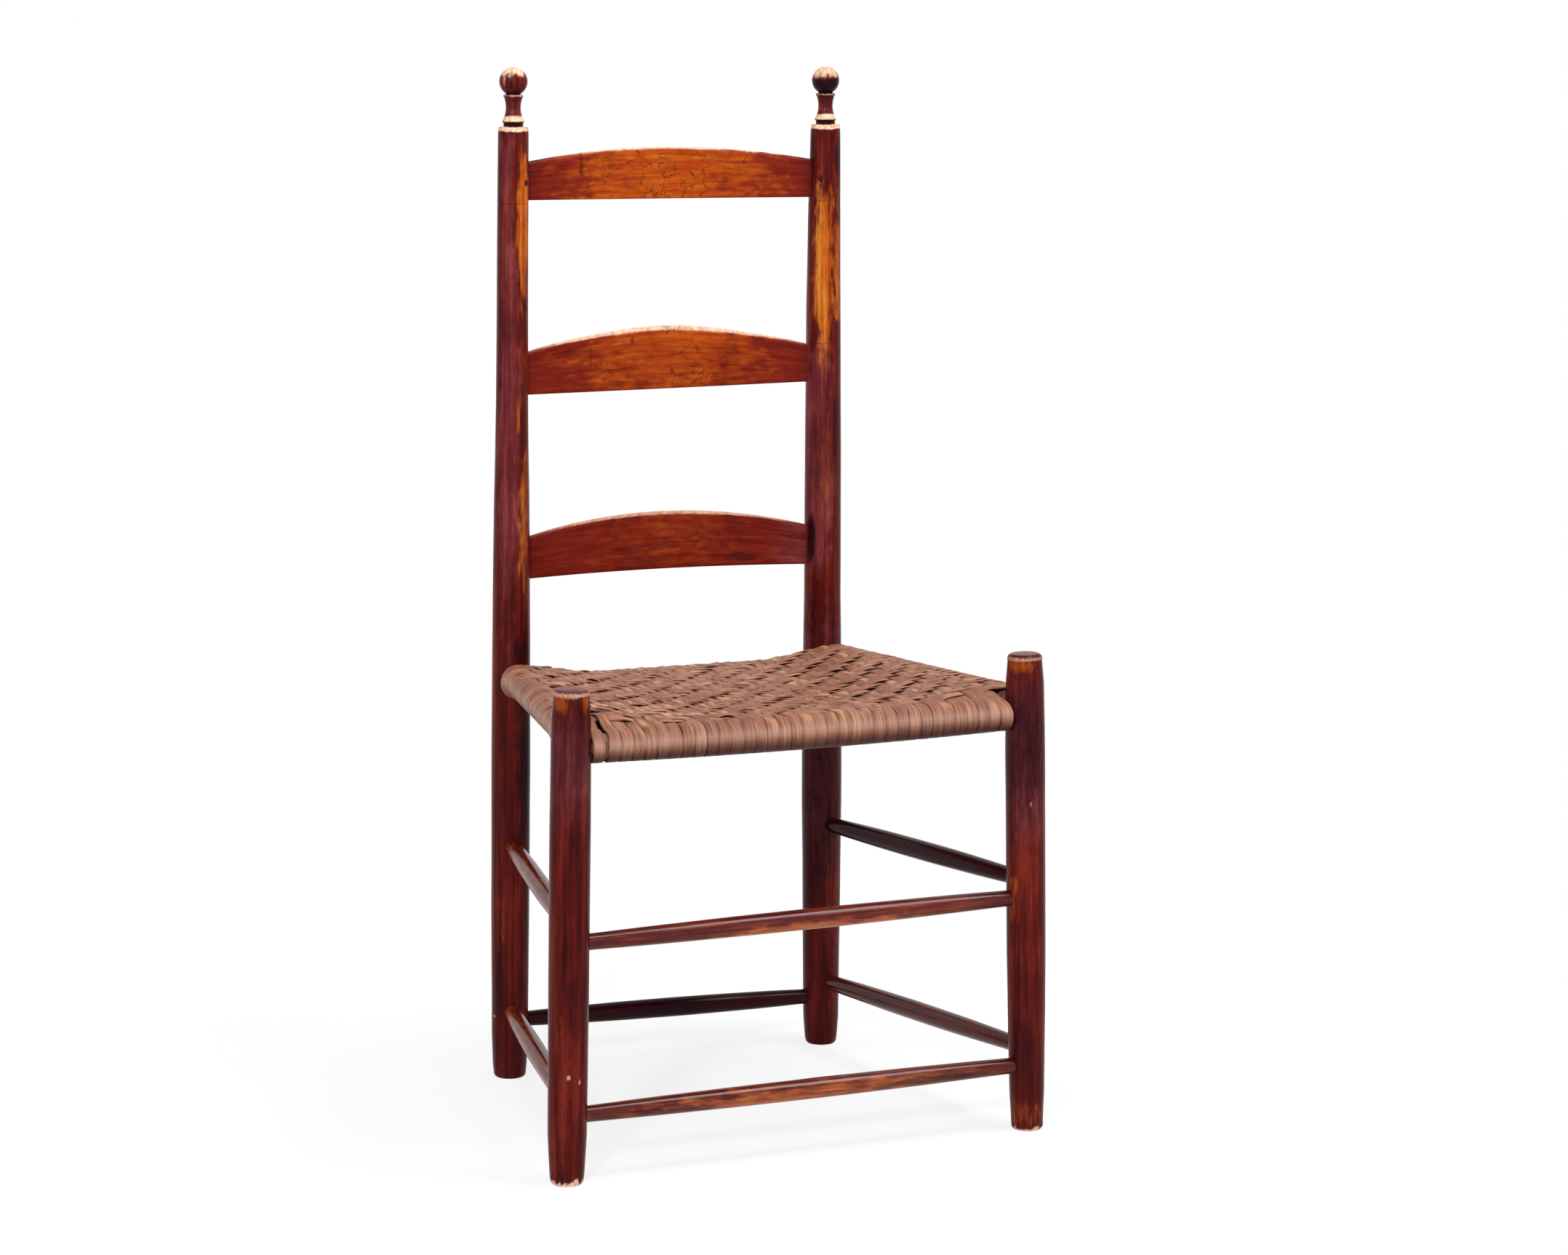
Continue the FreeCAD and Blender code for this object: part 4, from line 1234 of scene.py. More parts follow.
@dataclass
class FrontPost(TurnedPost):
    """A front post: a short swelled shaft under a low domed top."""

    row: str = "front"
    foot_dia: float = 32.6 * MM
    crown_dia: float = 34.4 * MM
    crown_flat_dia: float = 23.0 * MM
    crown_drop: float = 7.0 * MM
    crown_round: tuple[float, float] = (0.86, 0.30)
    crown_rise: float = 0.3 * MM
    crown_steps: int = 10
    crown_ring_step: float = 1.5 * MM

    def outline(self) -> Profile:
        """Draw the foot, the shaft and the domed top with its rubbed edge.

        Returns:
            The whole half outline.
        """
        top = self.axis.length
        edge = top - self.crown_drop
        profile = self.foot()
        self.shaft(profile, self.shaft_from, edge - 2.0 * MM)
        crown, flat = self.crown_dia / 2, self.crown_flat_dia / 2
        out, down = self.crown_round
        shoulder = (mix(flat, crown, out), top - self.crown_drop * down)
        profile.line(crown, edge)
        profile.arc(shoulder, (flat, top - self.crown_rise), self.crown_steps)
        profile.line(flat / 2, top, self.crown_ring_step)
        return profile.line(0.0, top, self.crown_ring_step)


@dataclass
class RearPost(TurnedPost):
    """A rear post: a long tapering shaft with a chamfered shoulder and a turned finial."""

    row: str = "rear"
    foot_dia: float = 34.0 * MM
    shoulder_height: float = 977.13 * MM
    chamfer: float = 3.8 * MM
    shoulder_top_dia: float = 28.6 * MM
    groove_dia: float = 20.2 * MM
    groove_height: float = 4.4 * MM
    bell_dia: float = 22.6 * MM
    bell_rim: float = 2.6 * MM
    bell_flare: float = 13.6 * MM
    bell_hollow_dia: float = 17.0 * MM
    neck_dia: float = 15.4 * MM
    neck_flare: float = 8.8 * MM
    neck_hollow_dia: float = 16.6 * MM
    collar_flare_dia: float = 18.8 * MM
    collar_dia: float = 20.6 * MM
    collar_height: float = 3.4 * MM
    ball_seat_dia: float = 14.0 * MM
    ball_dia: float = 28.6 * MM
    edge_step: float = 0.9 * MM
    edge_round: float = 0.5 * MM
    collar_slope: float = 1.2 * MM
    bell_waist: float = 0.42
    neck_waist: float = 0.55
    collar_belly: float = 0.45
    ball_steps: int = 30

    def outline(self) -> Profile:
        """Draw the foot, the shaft, the shoulder and the finial from groove to ball.

        Returns:
            The whole half outline.
        """
        top = self.axis.length
        fine, soft = self.edge_step, self.edge_round
        profile = self.foot()
        self.shaft(profile, self.shaft_from, self.shoulder_height - 0.8 * MM)
        groove = self.shoulder_height + self.chamfer
        bell = groove + self.groove_height
        flare = bell + self.bell_rim
        neck = flare + self.bell_flare
        collar = neck + self.neck_flare
        seat = collar + self.collar_height
        ball = self.ball_dia / 2
        for dia, wider, height, step in (
            (self.shoulder_top_dia, soft, groove - soft * 0.6, fine),
            (self.shoulder_top_dia, -soft, groove, fine),
            (self.groove_dia, soft, groove, 2 * fine),
            (self.groove_dia, 0.0, groove + soft, fine),
            (self.groove_dia, 0.0, bell - soft, fine),
            (self.bell_dia, -soft, bell, fine),
        ):
            profile.line(dia / 2 + wider, height, step)
        for through, height, end, wider, end_height, steps in (
            (self.bell_dia, bell + self.bell_rim / 2, self.bell_dia, -soft, flare, 6),
            (self.bell_hollow_dia, flare + self.bell_flare * self.bell_waist, self.neck_dia, 0.0,
             neck, 12),
            (self.neck_hollow_dia, neck + self.neck_flare * self.neck_waist,
             self.collar_flare_dia, 0.0, collar, 8),
            (self.collar_dia, collar + self.collar_height * self.collar_belly, self.collar_dia,
             -self.collar_slope, seat - soft, 7),
        ):
            profile.arc((through / 2, height), (end / 2 + wider, end_height), steps)
        profile.line(self.ball_seat_dia / 2, seat, fine)
        return profile.arc((ball, top - ball), (0.0, top), self.ball_steps)


@dataclass
class Stretcher:
    """A round stretcher that swells towards its middle, with a bare tenon at each end."""

    name: str
    axis: Axis
    start_skin: float
    end_skin: float
    seed: int
    patches: Sequence[Patch]
    tenon_dia: float = 16.2 * MM
    middle_dia: float = 20.6 * MM
    tenon_show: float = 1.2 * MM
    tenon_end: float = 9.3 * MM
    segments: int = 40
    ring_step: float = 6.0 * MM
    hand_depth: float = 0.3 * MM

    def build(self, material: Material) -> Object:
        """Turn the stretcher and lay it between its posts.

        Args:
            material: its finish.

        Returns:
            The piece.
        """
        span = self.axis.length
        near = self.start_skin + self.tenon_show
        far = span - self.end_skin - self.tenon_show
        tenon = self.tenon_dia / 2
        steps = round((far - near) / self.ring_step)
        profile = Profile(0.0, self.tenon_end)
        profile.line(tenon, self.tenon_end, tenon).line(tenon, near, self.ring_step)
        profile.arc((self.middle_dia / 2, span / 2), (tenon, far), steps)
        profile.line(tenon, span - self.tenon_end, self.ring_step)
        mesh_maker = profile.line(0.0, span - self.tenon_end, tenon).turned(self.segments)
        dress_vertices(mesh_maker, self.seed, self.patches)
        hand_turned(mesh_maker, self.seed, self.hand_depth)
        bmesh.ops.transform(mesh_maker, matrix=self.axis.matrix(), verts=mesh_maker.verts)
        return finish_piece(mesh_maker, self.name, material, [self.name])


@dataclass
class BentSlat:
    """A thin board bent backwards between the rear posts, arched along its upper edge."""

    name: str
    lower: float
    half: float
    end_height: float
    arch: float
    belly: float
    upper_tilt: float
    lower_tilt: float
    seed: int
    patches: Sequence[Patch]
    shoulder_drop: float = 0.0
    depth_at: float = 179.7 * MM
    bow: float = 13.0 * MM
    thickness: float = 7.6 * MM
    edge_round: float = 1.4 * MM
    top_round: float = 3.3 * MM
    wave_length: float = 45.0 * MM
    wave_depth: float = 0.25 * MM
    columns: int = 150
    rows: int = 28

    def rise(self, across: float, height: float) -> float:
        """Return how far an arc of a rise stands up at a share of the half width.

        Args:
            across: the share, from -1 to 1.
            height: the arc's rise. It may be negative.

        Returns:
            Metres.
        """
        if height == 0.0:
            return 0.0
        radius = (self.half ** 2 + height ** 2) / (2.0 * abs(height))
        held = math.sqrt(radius ** 2 - (across * self.half) ** 2) - (radius - abs(height))
        return math.copysign(held, height)

    def build(self, material: Material) -> Object:
        """Cut the board, round its long edges, then arch and bend it.

        Args:
            material: its finish.

        Returns:
            The piece.
        """
        mesh_maker = bmesh.new()
        bmesh.ops.create_cube(mesh_maker, size=1.0)
        bmesh.ops.scale(
            mesh_maker, vec=(2 * self.half, self.thickness, self.end_height),
            verts=mesh_maker.verts,
        )
        for side, offset, segments in ((-1.0, self.edge_round, 3), (1.0, self.top_round, 6)):
            long_edges = [
                edge for edge in mesh_maker.edges
                if abs(edge.verts[0].co.x - edge.verts[1].co.x) > self.half
                and edge.verts[0].co.z * side > self.end_height / 2 - SAME_PLACE
            ]
            bmesh.ops.bevel(
                mesh_maker, geom=long_edges, offset=offset, offset_type="OFFSET",
                segments=segments, profile=0.5, affect="EDGES", material=-1,
            )
        for number, length, plane in (
            (self.columns, 2 * self.half, RIGHT), (self.rows, self.end_height, UP),
        ):
            for index in range(1, number):
                bmesh.ops.bisect_plane(
                    mesh_maker, geom=everything(mesh_maker), plane_no=plane, dist=1e-6,
                    plane_co=plane * length * (index / number - 0.5),
                )
        dress_vertices(
            mesh_maker, self.seed, self.patches,
            lambda spot: (
                spot.x, spot.z / self.end_height + 0.5, Vector((spot.z, spot.y, spot.x)),
            ),
        )
        for vertex in mesh_maker.verts:
            across = vertex.co.x / self.half
            share = vertex.co.z / self.end_height + 0.5
            low = self.rise(across, self.belly) + across * self.lower_tilt / 2
            high = self.end_height + self.rise(across, self.arch) + across * self.upper_tilt / 2
            high -= self.shoulder_drop * math.sin(math.pi * abs(across)) ** 2
            wave = noise.noise(vertex.co / self.wave_length + RIGHT * self.seed)
            vertex.co.z = self.lower + mix(low, high, share)
            vertex.co.y += self.depth_at + self.rise(across, self.bow) - wave * self.wave_depth
        bmesh.ops.recalc_face_normals(mesh_maker, faces=mesh_maker.faces)
        return finish_piece(mesh_maker, self.name, material, [self.name])


@dataclass
class SlatPin:
    """A whittled wooden pin that holds an end of the top slat in its post."""

    side: str
    centre: Vector
    seed: int
    diameter: float = 6.4 * MM
    length: float = 20.0 * MM
    facets: int = 9
    bevel: float = 0.7 * MM
    crown: float = 0.15 * MM
    hand_depth: float = 0.25 * MM

    def build(self, material: Material) -> Object:
        """Whittle the pin and set it a little proud of the post.

        Args:
            material: its finish.

        Returns:
            The piece.
        """
        name = f"top_slat_pin_{self.side}"
        radius = self.diameter / 2
        mesh_maker = (
            Profile(0.0, self.length)
            .line(radius, self.length, radius)
            .line(radius, self.bevel, 4.0 * MM)
            .line(radius * 0.86, self.crown, MM)
            .line(0.0, 0.0, radius)
            .turned(self.facets)
        )
        hand_turned(mesh_maker, self.seed, self.hand_depth)
        dress_vertices(mesh_maker, self.seed, [])
        place = Axis(self.centre, self.centre + Vector((0, self.length, 0)), UP)
        bmesh.ops.transform(mesh_maker, matrix=place.matrix(), verts=mesh_maker.verts)
        return finish_piece(mesh_maker, name, material, [name], sharp_deg=25.0)


@dataclass
class SplintSeat:
    """The woven seat: strips of splint round the four rails, over two and under two."""

    layout: ChairLayout
    strip_width: float = 12.5 * MM
    strip_thickness: float = 1.0 * MM
    over_under: float = 0.93 * MM
    wrap_reach: float = 14.5 * MM
    weave_reach: float = 13.9 * MM
    front_tilt: float = 2.0 * MM
    rear_drop: float = 13.6 * MM
    side_rise_front: float = 10.2 * MM
    side_rise_rear: float = 3.0 * MM
    sag: float = 4.0 * MM
    climb_top: float = 30.0 * MM
    climb_under: float = 56.0 * MM
    full_warps: int = 25
    wings: int = 5
    wing_gap: float = 10.0 * MM
    front_pitch: float = 12.35 * MM
    rear_pitch: float = 12.1 * MM
    rows: int = 27
    middle_rows: tuple[float, float] = (-160.0 * MM, 166.0 * MM)
    side_rows: tuple[float, float] = (-147.5 * MM, 151.0 * MM)
    wrap_slip: float = 6.0 * MM
    front_droop: float = 4.0 * MM
    steps_per_crossing: int = 4
    wrap_steps: int = 12
    strip_columns: int = 5
    # How dark the strips' edges are painted: painted shade.
    strip_edge_shade: float = 0.35
    side_tuck: float = 2.6 * MM
    weft_lift: float = -0.3 * MM
    warp_lift: float = 0.4 * MM
    float_bulge: float = 0.9 * MM
    flat_inside: float = 20.0 * MM
    # How much paler the band round the front rail and the side rails is painted: partly wear,
    # partly a painted highlight.
    roll_rub_highlight: float = 0.36
    side_rub_highlight: float = 0.3
    wander_length: float = 55.0 * MM
    drift: float = 1.3 * MM
    pinch: float = 0.17
    slant: float = 2.0 * MM
    cup: float = 0.3 * MM
    pale_spot: tuple[float, float] = (-140.0 * MM, -90.0 * MM)
    pale_reach: float = 110.0 * MM
    pale_length: float = 30.0 * MM
    pale_gain: float = 0.45
    sun_gain: float = 1.7
    sun_least: float = 0.22
    straight_share: float = 0.45
    dive_from: float = 0.22
    rise_from: float = 6.0 * MM
    rise_over: float = 8.0 * MM
    bulge_mean: float = 0.45
    bulge_spread: float = 1.7
    bulge_patch: float = 1.6
    width_spread: tuple[float, float] = (0.94, 1.03)
    lift_spread: tuple[float, float] = (0.6, 1.3)
    pulled_tight: float = 0.3
    strips_apart: float = 7.7
    pinch_pace: float = 3.1
    slant_pace: float = 3.6
    slant_shade: float = 0.42
    fibres_apart: tuple[float, float] = (0.31, 0.17)
    # The painted shade on what lies under other strips: its mean, spread and pace.
    under_shade_mean: float = 0.6
    under_shade_spread: float = 0.7
    under_shade_pace: float = 2.7
    # Where the paler band lies round a rail, by how far up its surface faces, and its reach.
    highlight_middle: float = 0.2
    highlight_reach: float = 0.55
    droop_middle: float = 0.2
    seed: int = 11

    def __post_init__(self) -> None:
        """Find the rails."""
        seat = self.layout.seat_height
        front, rear = (
            self.layout.rod((row, "left", height), (row, "right", height), FRONT)
            for row, height in (("front", seat), ("rear", seat - self.rear_drop))
        )
        self.y_front, self.x_front = front.start.y, front.end.x
        self.y_rear, self.x_rear = rear.start.y, rear.end.x
        self.side_slope = (self.x_front - self.x_rear) / (self.y_rear - self.y_front)
        self.columns = self.full_warps + 2 * self.wings
        self.half_turn = math.pi * self.wrap_reach
        self.chance = random.Random(self.seed)
        self.shifts = {0: -3.2 * MM, self.columns - 1: 0.6 * MM}
        self.fans = {0: -2.0 * MM, self.columns - 1: -11.0 * MM, self.columns - 2: -4.0 * MM}

    def share_back(self, y: float) -> float:
        """Return how far back a place lies, from 0 at the front rail to 1 at the rear one."""
        return (y - self.y_front) / (self.y_rear - self.y_front)

    def side_x(self, y: float) -> float:
        """Return the half width of the seat, from the middle to a side rail's axis."""
        return mix(self.x_front, self.x_rear, self.share_back(y))

    def level(self, x: float, y: float, outside: float) -> float:
        """Return the height of the rails' middle surface at a place.

        Args:
            x: metres from the middle.
            y: metres behind the middle.
            outside: 1 for what lies above the rails, -1 for what lies under them, which
                climbs to the side rails later and is tucked up against them.

        Returns:
            Metres above the floor.
        """
        climb = self.climb_top if outside > 0 else self.climb_under
        seat = self.layout.seat_height
        along = self.share_back(y)
        across = max(-1.0, min(1.0, x / self.side_x(y)))
        middle = mix(seat + across * self.front_tilt, seat - self.rear_drop, along)
        side = seat + mix(self.side_rise_front, self.side_rise_rear, along)
        edge = min(y - self.y_front, self.y_rear - y) / climb
        lift = abs(across) ** 4 * (5.0 - 4.0 * abs(across)) * eased(edge)
        sag = self.sag * (1.0 - across ** 2) * math.sin(math.pi * min(max(along, 0.0), 1.0))
        tuck = self.side_tuck * abs(across) ** 6 if outside < 0 else 0.0
        return mix(middle, side, lift) - sag + tuck

    def place(self, x: float, y: float, outside: float, reach: float) -> Vector:
        """Return the place that stands off the rails' middle surface by a reach."""
        return Vector((x, y, self.level(x, y, outside) + outside * reach))

    def row_y(self, row: float, x: float) -> float:
        """Return where a row of weft lies at a distance from the middle of the seat.

        Args:
            row: the row, from the front.
            x: metres from the middle.

        Returns:
            Metres behind the middle.
        """
        share = row / (self.rows - 1)
        middle = mix(*self.middle_rows, share)
        side = mix(*self.side_rows, share)
        outer = (abs(x) / self.side_x(middle) - self.straight_share) / (1.0 - self.straight_share)
        return mix(middle, side, eased(outer))

    def row_at(self, x: float, y: float) -> float:
        """Return the row, and the share of the next one, that lies at a place."""
        first, last = self.row_y(0, x), self.row_y(self.rows - 1, x)
        return (y - first) / (last - first) * (self.rows - 1)

    def column_x(self, column: float, y: float) -> float:
        """Return where a warp lies at a distance behind the middle of the seat."""
        pitch = mix(self.front_pitch, self.rear_pitch, self.share_back(y))
        return (column - (self.columns - 1) / 2) * pitch

    def column_at(self, x: float, y: float) -> float:
        """Return the column, and the share of the next one, that lies at a place."""
        pitch = self.column_x(1, y) - self.column_x(0, y)
        return x / pitch + (self.columns - 1) / 2

    def warp_side(self, column: int, row: int) -> float:
        """Return 1 where a warp lies over a weft, and -1 where it lies under it."""
        return 1.0 if (column - row) % 4 < 2 else -1.0

    def bulge(self, x: float, y: float, middle: float) -> float:
        """Return how far a strip stands off between the strips that it dives under.

        Args:
            x: metres from the middle.
            y: metres behind the middle.
            middle: where its floats have their middle, among the four steps of the weave.

        Returns:
            Metres.
        """
        column, row = self.column_at(x, y), self.row_at(x, y)
        apart = (column - row - middle + 2.0) % 4.0 - 2.0
        arch = max(0.0, math.cos(math.pi / 2 * apart))
        spot = Vector((column / self.bulge_patch, row / self.bulge_patch, 10.0 * middle))
        uneven = self.bulge_mean + self.bulge_spread * noise.noise(spot)
        inside = min(self.side_x(y) - abs(x), y - self.y_front, self.y_rear - y)
        return self.float_bulge * arch * max(0.0, uneven) * eased(inside / self.flat_inside)

    def dive(self, first: float, second: float, share: float) -> float:
        """Return a strip's height at a share of the way from one crossing to the next."""
        return mix(first, second, eased((share - self.dive_from) / (1.0 - 2 * self.dive_from)))

    def warp_height(self, column: int, row: float) -> float:
        """Return a warp's place between its layers, from 1 outside to -1 inside.

        Args:
            column: the warp.
            row: the row, with its share.

        Returns:
            The height.
        """
        low = math.floor(row)
        first, second = (
            self.warp_side(column, at) if 0 <= at < self.rows else 1.0 for at in (low, low + 1)
        )
        return self.dive(first, second, row - low)

    def weft_height(self, row: int, x: float, y: float) -> float:
        """Return a weft's place between its layers, from 1 outside to -1 inside.

        Args:
            row: the weft.
            x: metres from the middle.
            y: metres behind the middle.

        Returns:
            The height.
        """
        column = self.column_at(x, y)
        low = math.floor(column)
        first, second = (-self.warp_side(at, row) for at in (low, low + 1))
        inside = eased((self.side_x(y) - abs(x) - self.rise_from) / self.rise_over)
        return mix(1.0, self.dive(first, second, column - low), inside)

    def ribbon(
        self, mesh_maker: BMesh, stations: Sequence[Station],
        number: int, lift: float, edging: float, rub_highlight: float,
    ) -> None:
        """Lay one strip along its stations.

        Args:
            mesh_maker: the bmesh that the strip is added to.
            stations: for each step the metres along the strip, what turns a distance across
                it into a place, the way outwards, and its height between the layers.
            number: the strip's number, which picks its tone and fibres.
            lift: how far its one edge is turned up, like a shingle's.
            edging: how much of its edges' shading it keeps where it goes round a rail.
            rub_highlight: how much paler it is painted where it goes round a rail, partly worn by
                rubbing and partly a painted highlight.
        """
        layers = mesh_maker.verts.layers
        grain = layers.float_vector.get(GRAIN) or layers.float_vector.new(GRAIN)
        marks = layers.float_color.get(MARKS) or layers.float_color.new(MARKS)
        steps = len(stations) - 1
        grid = bmesh.ops.create_grid(
            mesh_maker, x_segments=steps, y_segments=self.strip_columns, size=0.5,
        )
        tone = self.chance.random()
        width = self.strip_width * self.chance.uniform(*self.width_spread)
        tilt = lift * self.chance.uniform(*self.lift_spread)
        for vertex in grid["verts"]:
            along, place, outwards, height = stations[round((vertex.co.x + 0.5) * steps)]
            share = 2.0 * vertex.co.y
            upward = max(0.0, outwards.z) ** 2
            loose = mix(self.pulled_tight, 1.0, upward)
            wander = Vector((along / self.wander_length, number * self.strips_apart, 0.0))
            drift = noise.noise(wander) * self.drift * loose
            pinch = 1.0 + self.pinch * noise.noise(wander * self.pinch_pace) * loose
            slant = (tilt + noise.noise(wander * self.slant_pace) * self.slant) * share
            slant *= 0.65 + 0.35 * height
            risen = (self.cup * (1.0 - share * share) + slant) * loose
            vertex.co = place(share * width * pinch / 2 + drift) + outwards * risen
            sideways, deep = (number * apart for apart in self.fibres_apart)
            vertex[grain] = (share * width / 2 + sideways, deep, along)
            sun = noise.noise(Vector((along / self.pale_length, number * 2.9 + share * 0.7, 4.0)))
            away = (vertex.co.xy - Vector(self.pale_spot)).length / self.pale_reach
            paler = self.pale_gain * eased(1.0 - away)
            lit = eased(sun * self.sun_gain - self.sun_least + paler) * loose
            # Painted light and shade in the crown channel: darker where the strip lies under
            # others and at its edges, lighter towards the edge that its slant turns up and darker
            # towards the other.
            edge = self.slant_shade * slant / MM
            edge -= self.strip_edge_shade * max(0.0, 3.0 * abs(share) - 2.0)
            uneven = noise.noise(wander * self.under_shade_pace + UP * 5.0)
            under_shade = mix(1.0, self.under_shade_mean + self.under_shade_spread * uneven, upward)
            shaded = 1.0 - (0.5 - 0.5 * height) * under_shade + edge * mix(edging, 1.0, upward)
            crown = min(max(shaded, 0.0), 1.0)
            # A paler band where the strip faces a little upwards round a rail: partly wear, partly
            # a painted highlight.
            rubbed_highlight = rub_highlight * eased(1.0 - abs(outwards.z - self.highlight_middle) / self.highlight_reach)
            vertex[marks] = (tone, crown, lit, crown * rubbed_highlight)

    def lay(
        self, mesh_maker: BMesh, number: int, run: Sequence[float], closed: bool,
        outs: tuple[Vector, Vector],
        flat: Callable[[float, float], tuple[Place, float]],
        wrap: Callable[[bool, float, Vector], tuple[Place, float]],
        look: tuple[float, float, float],
    ) -> None:
        """Lay one strip over the seat and under it, with a half turn round each of its rails.

        Args:
            mesh_maker: the bmesh that the strip is added to.
            number: the strip's number, which picks its tone and fibres.
            run: places along the strip, from its near rail, the front or left one.
            closed: whether it goes round the far rail too, and ends under its own middle.
            outs: the level ways outwards at the near rail and at the far one.
            flat: for a place of the run and 1 above the seat or -1 under it, gives the
                strip's place function and its height between the layers.
            wrap: gives the same for near or far, a share of the way down round the rail, and
                the way outwards there; there the height paints shade on the lower half of the
                turn.
            look: the ribbon's lift, edging and paler band round the rails, which is partly wear
                and partly a painted highlight.
        """
        legs = [(1.0, run[::-1], True), (-1.0, run, None)]
        if closed:
            middle = len(run) // 2
            legs = [(-1.0, run[middle:], False), legs[0], (-1.0, run[:middle + 1], None)]
        stations: list[Station] = []
        travelled = 0.0
        for outside, places, near in legs:
            for at in places:
                along = travelled + abs(at - places[0])
                place, height = flat(at, outside)
                stations.append((along, place, UP * outside, height))
            travelled += abs(places[-1] - places[0])
            if near is None:
                break
            for step in range(1, self.wrap_steps):
                share = step / self.wrap_steps
                lower = share if near else 1.0 - share
                angle = math.pi * (0.5 - lower)
                outwards = outs[0 if near else 1] * math.cos(angle) + UP * math.sin(angle)
                place, height = wrap(near, lower, outwards)
                stations.append((travelled + self.half_turn * share, place, outwards, height))
            travelled += self.half_turn
        self.ribbon(mesh_maker, stations, number, *look)

    def warp(self, mesh_maker: BMesh, column: int, number: int) -> None:
        """Lay one warp: a full turn round both rails, or a wing from the front rail.

        Args:
            mesh_maker: the bmesh that the strip is added to.
            column: its place along the front rail, from the left.
            number: the strip's number.
        """
        closed = self.wings <= column < self.wings + self.full_warps
        fan = self.fans.get(column, 0.0)
        shift = self.shifts.get(column, 0.0)
        end = self.y_rear
        if not closed:
            off = self.x_front - abs(self.column_x(column, self.y_front))
            end = min(self.y_front + off / self.side_slope - self.wing_gap, self.side_rows[1])
        depth = end - self.y_front
        count = round(depth / self.front_pitch * self.steps_per_crossing)
        run = [mix(self.y_front, end, index / count) for index in range(count + 1)]

        def flat(y: float, outside: float) -> tuple[Place, float]:
            """Return the place function and the height on the flat of the seat.

            Args:
                y: metres behind the middle.
                outside: 1 above the seat, -1 under it.

            Returns:
                The place function and the height between the layers.
            """
            back = eased((y - self.y_front) / depth * 2.5)
            x = self.column_x(column, y) + shift + fan * (0.5 + 0.5 * back)
            height = self.warp_height(column, self.row_at(x, y))
            reach = self.weave_reach + self.over_under * height + self.bulge(x, y, 0.5)
            return lambda across: self.place(x + across, y, outside, reach), height

        def wrap(near: bool, _lower: float, outwards: Vector) -> tuple[Place, float]:
            """Return the place function and the height on the half turn round a rail.

            Args:
                near: whether it is the front rail.
                _lower: the share of the way down, which a warp leaves out.
                outwards: the way outwards.

            Returns:
                The place function and a height that falls on the lower half of the roll, which
                paints shade there.
            """
            y = self.y_front if near else self.y_rear
            x = self.column_x(column, y) + shift
            reach = self.wrap_reach
            if near:
                aside = x / self.x_front - self.droop_middle
                droop = self.front_droop * max(0.0, 1.0 - aside * aside / 1.2)
                reach += droop * max(0.0, -outwards.z)
            x += fan * 0.5 * max(0.0, outwards.z) ** 2
            # Painted shade: the height falls on the lower half of the roll round the front rail,
            # which darkens it there.
            height = 1.0 - 1.9 * eased((-0.02 - outwards.z) / 0.75)
            return lambda across: self.place(x + across, y, 1.0, 0.0) + outwards * reach, height

        self.lay(mesh_maker, number, run, closed, (FRONT, -FRONT), flat, wrap,
                 (self.warp_lift, 0.3, self.roll_rub_highlight))

    def weft(self, mesh_maker: BMesh, row: int, number: int) -> None:
        """Lay one weft: a full turn round both side rails.

        Args:
            mesh_maker: the bmesh that the strip is added to.
            row: its place from the front.
            number: the strip's number.
        """
        side_y = self.row_y(row, self.x_front)
        half_width = self.side_x(side_y)
        count = round(half_width / self.front_pitch * self.steps_per_crossing) * 2
        run = [mix(-half_width, half_width, index / count) for index in range(count + 1)]

        def flat(x: float, outside: float) -> tuple[Place, float]:
            """Return the place function and the height on the flat of the seat.

            Args:
                x: metres from the middle.
                outside: 1 above the seat, -1 under it.

            Returns:
                The place function and the height between the layers.
            """
            y = self.row_y(row, x) - (0.0 if outside > 0 else self.wrap_slip)
            height = self.weft_height(row, x, y)
            reach = self.weave_reach + self.over_under * height + self.bulge(x, y, 2.5)
            return lambda across: self.place(x, y + across, outside, reach), height

        def wrap(near: bool, lower: float, outwards: Vector) -> tuple[Place, float]:
            """Return the place function and the height on the half turn round a side rail.

            Args:
                near: whether it is the left rail.
                lower: the share of the way down.
                outwards: the way outwards.

            Returns:
                The place function and the height between the layers.
            """
            def place(across: float) -> Vector:
                """Return the place at a distance across the strip.

                Args:
                    across: metres across the strip.

                Returns:
                    The place.
                """
                y = side_y - self.wrap_slip * lower + across
                x = self.side_x(y) * (-1.0 if near else 1.0)
                level = mix(self.level(x, y, 1.0), self.level(x, y, -1.0), lower)
                return Vector((x, y, level)) + outwards * self.wrap_reach
            # Painted shade: the height falls on the lower half of the turn, which darkens it
            # there.
            return place, 1.0 - 0.5 * max(0.0, -outwards.z)

        outs = tuple(Vector((sign, self.side_slope, 0.0)).normalized() for sign in (-1.0, 1.0))
        self.lay(mesh_maker, number, run, True, outs, flat, wrap,
                 (self.weft_lift, 1.0, self.side_rub_highlight))

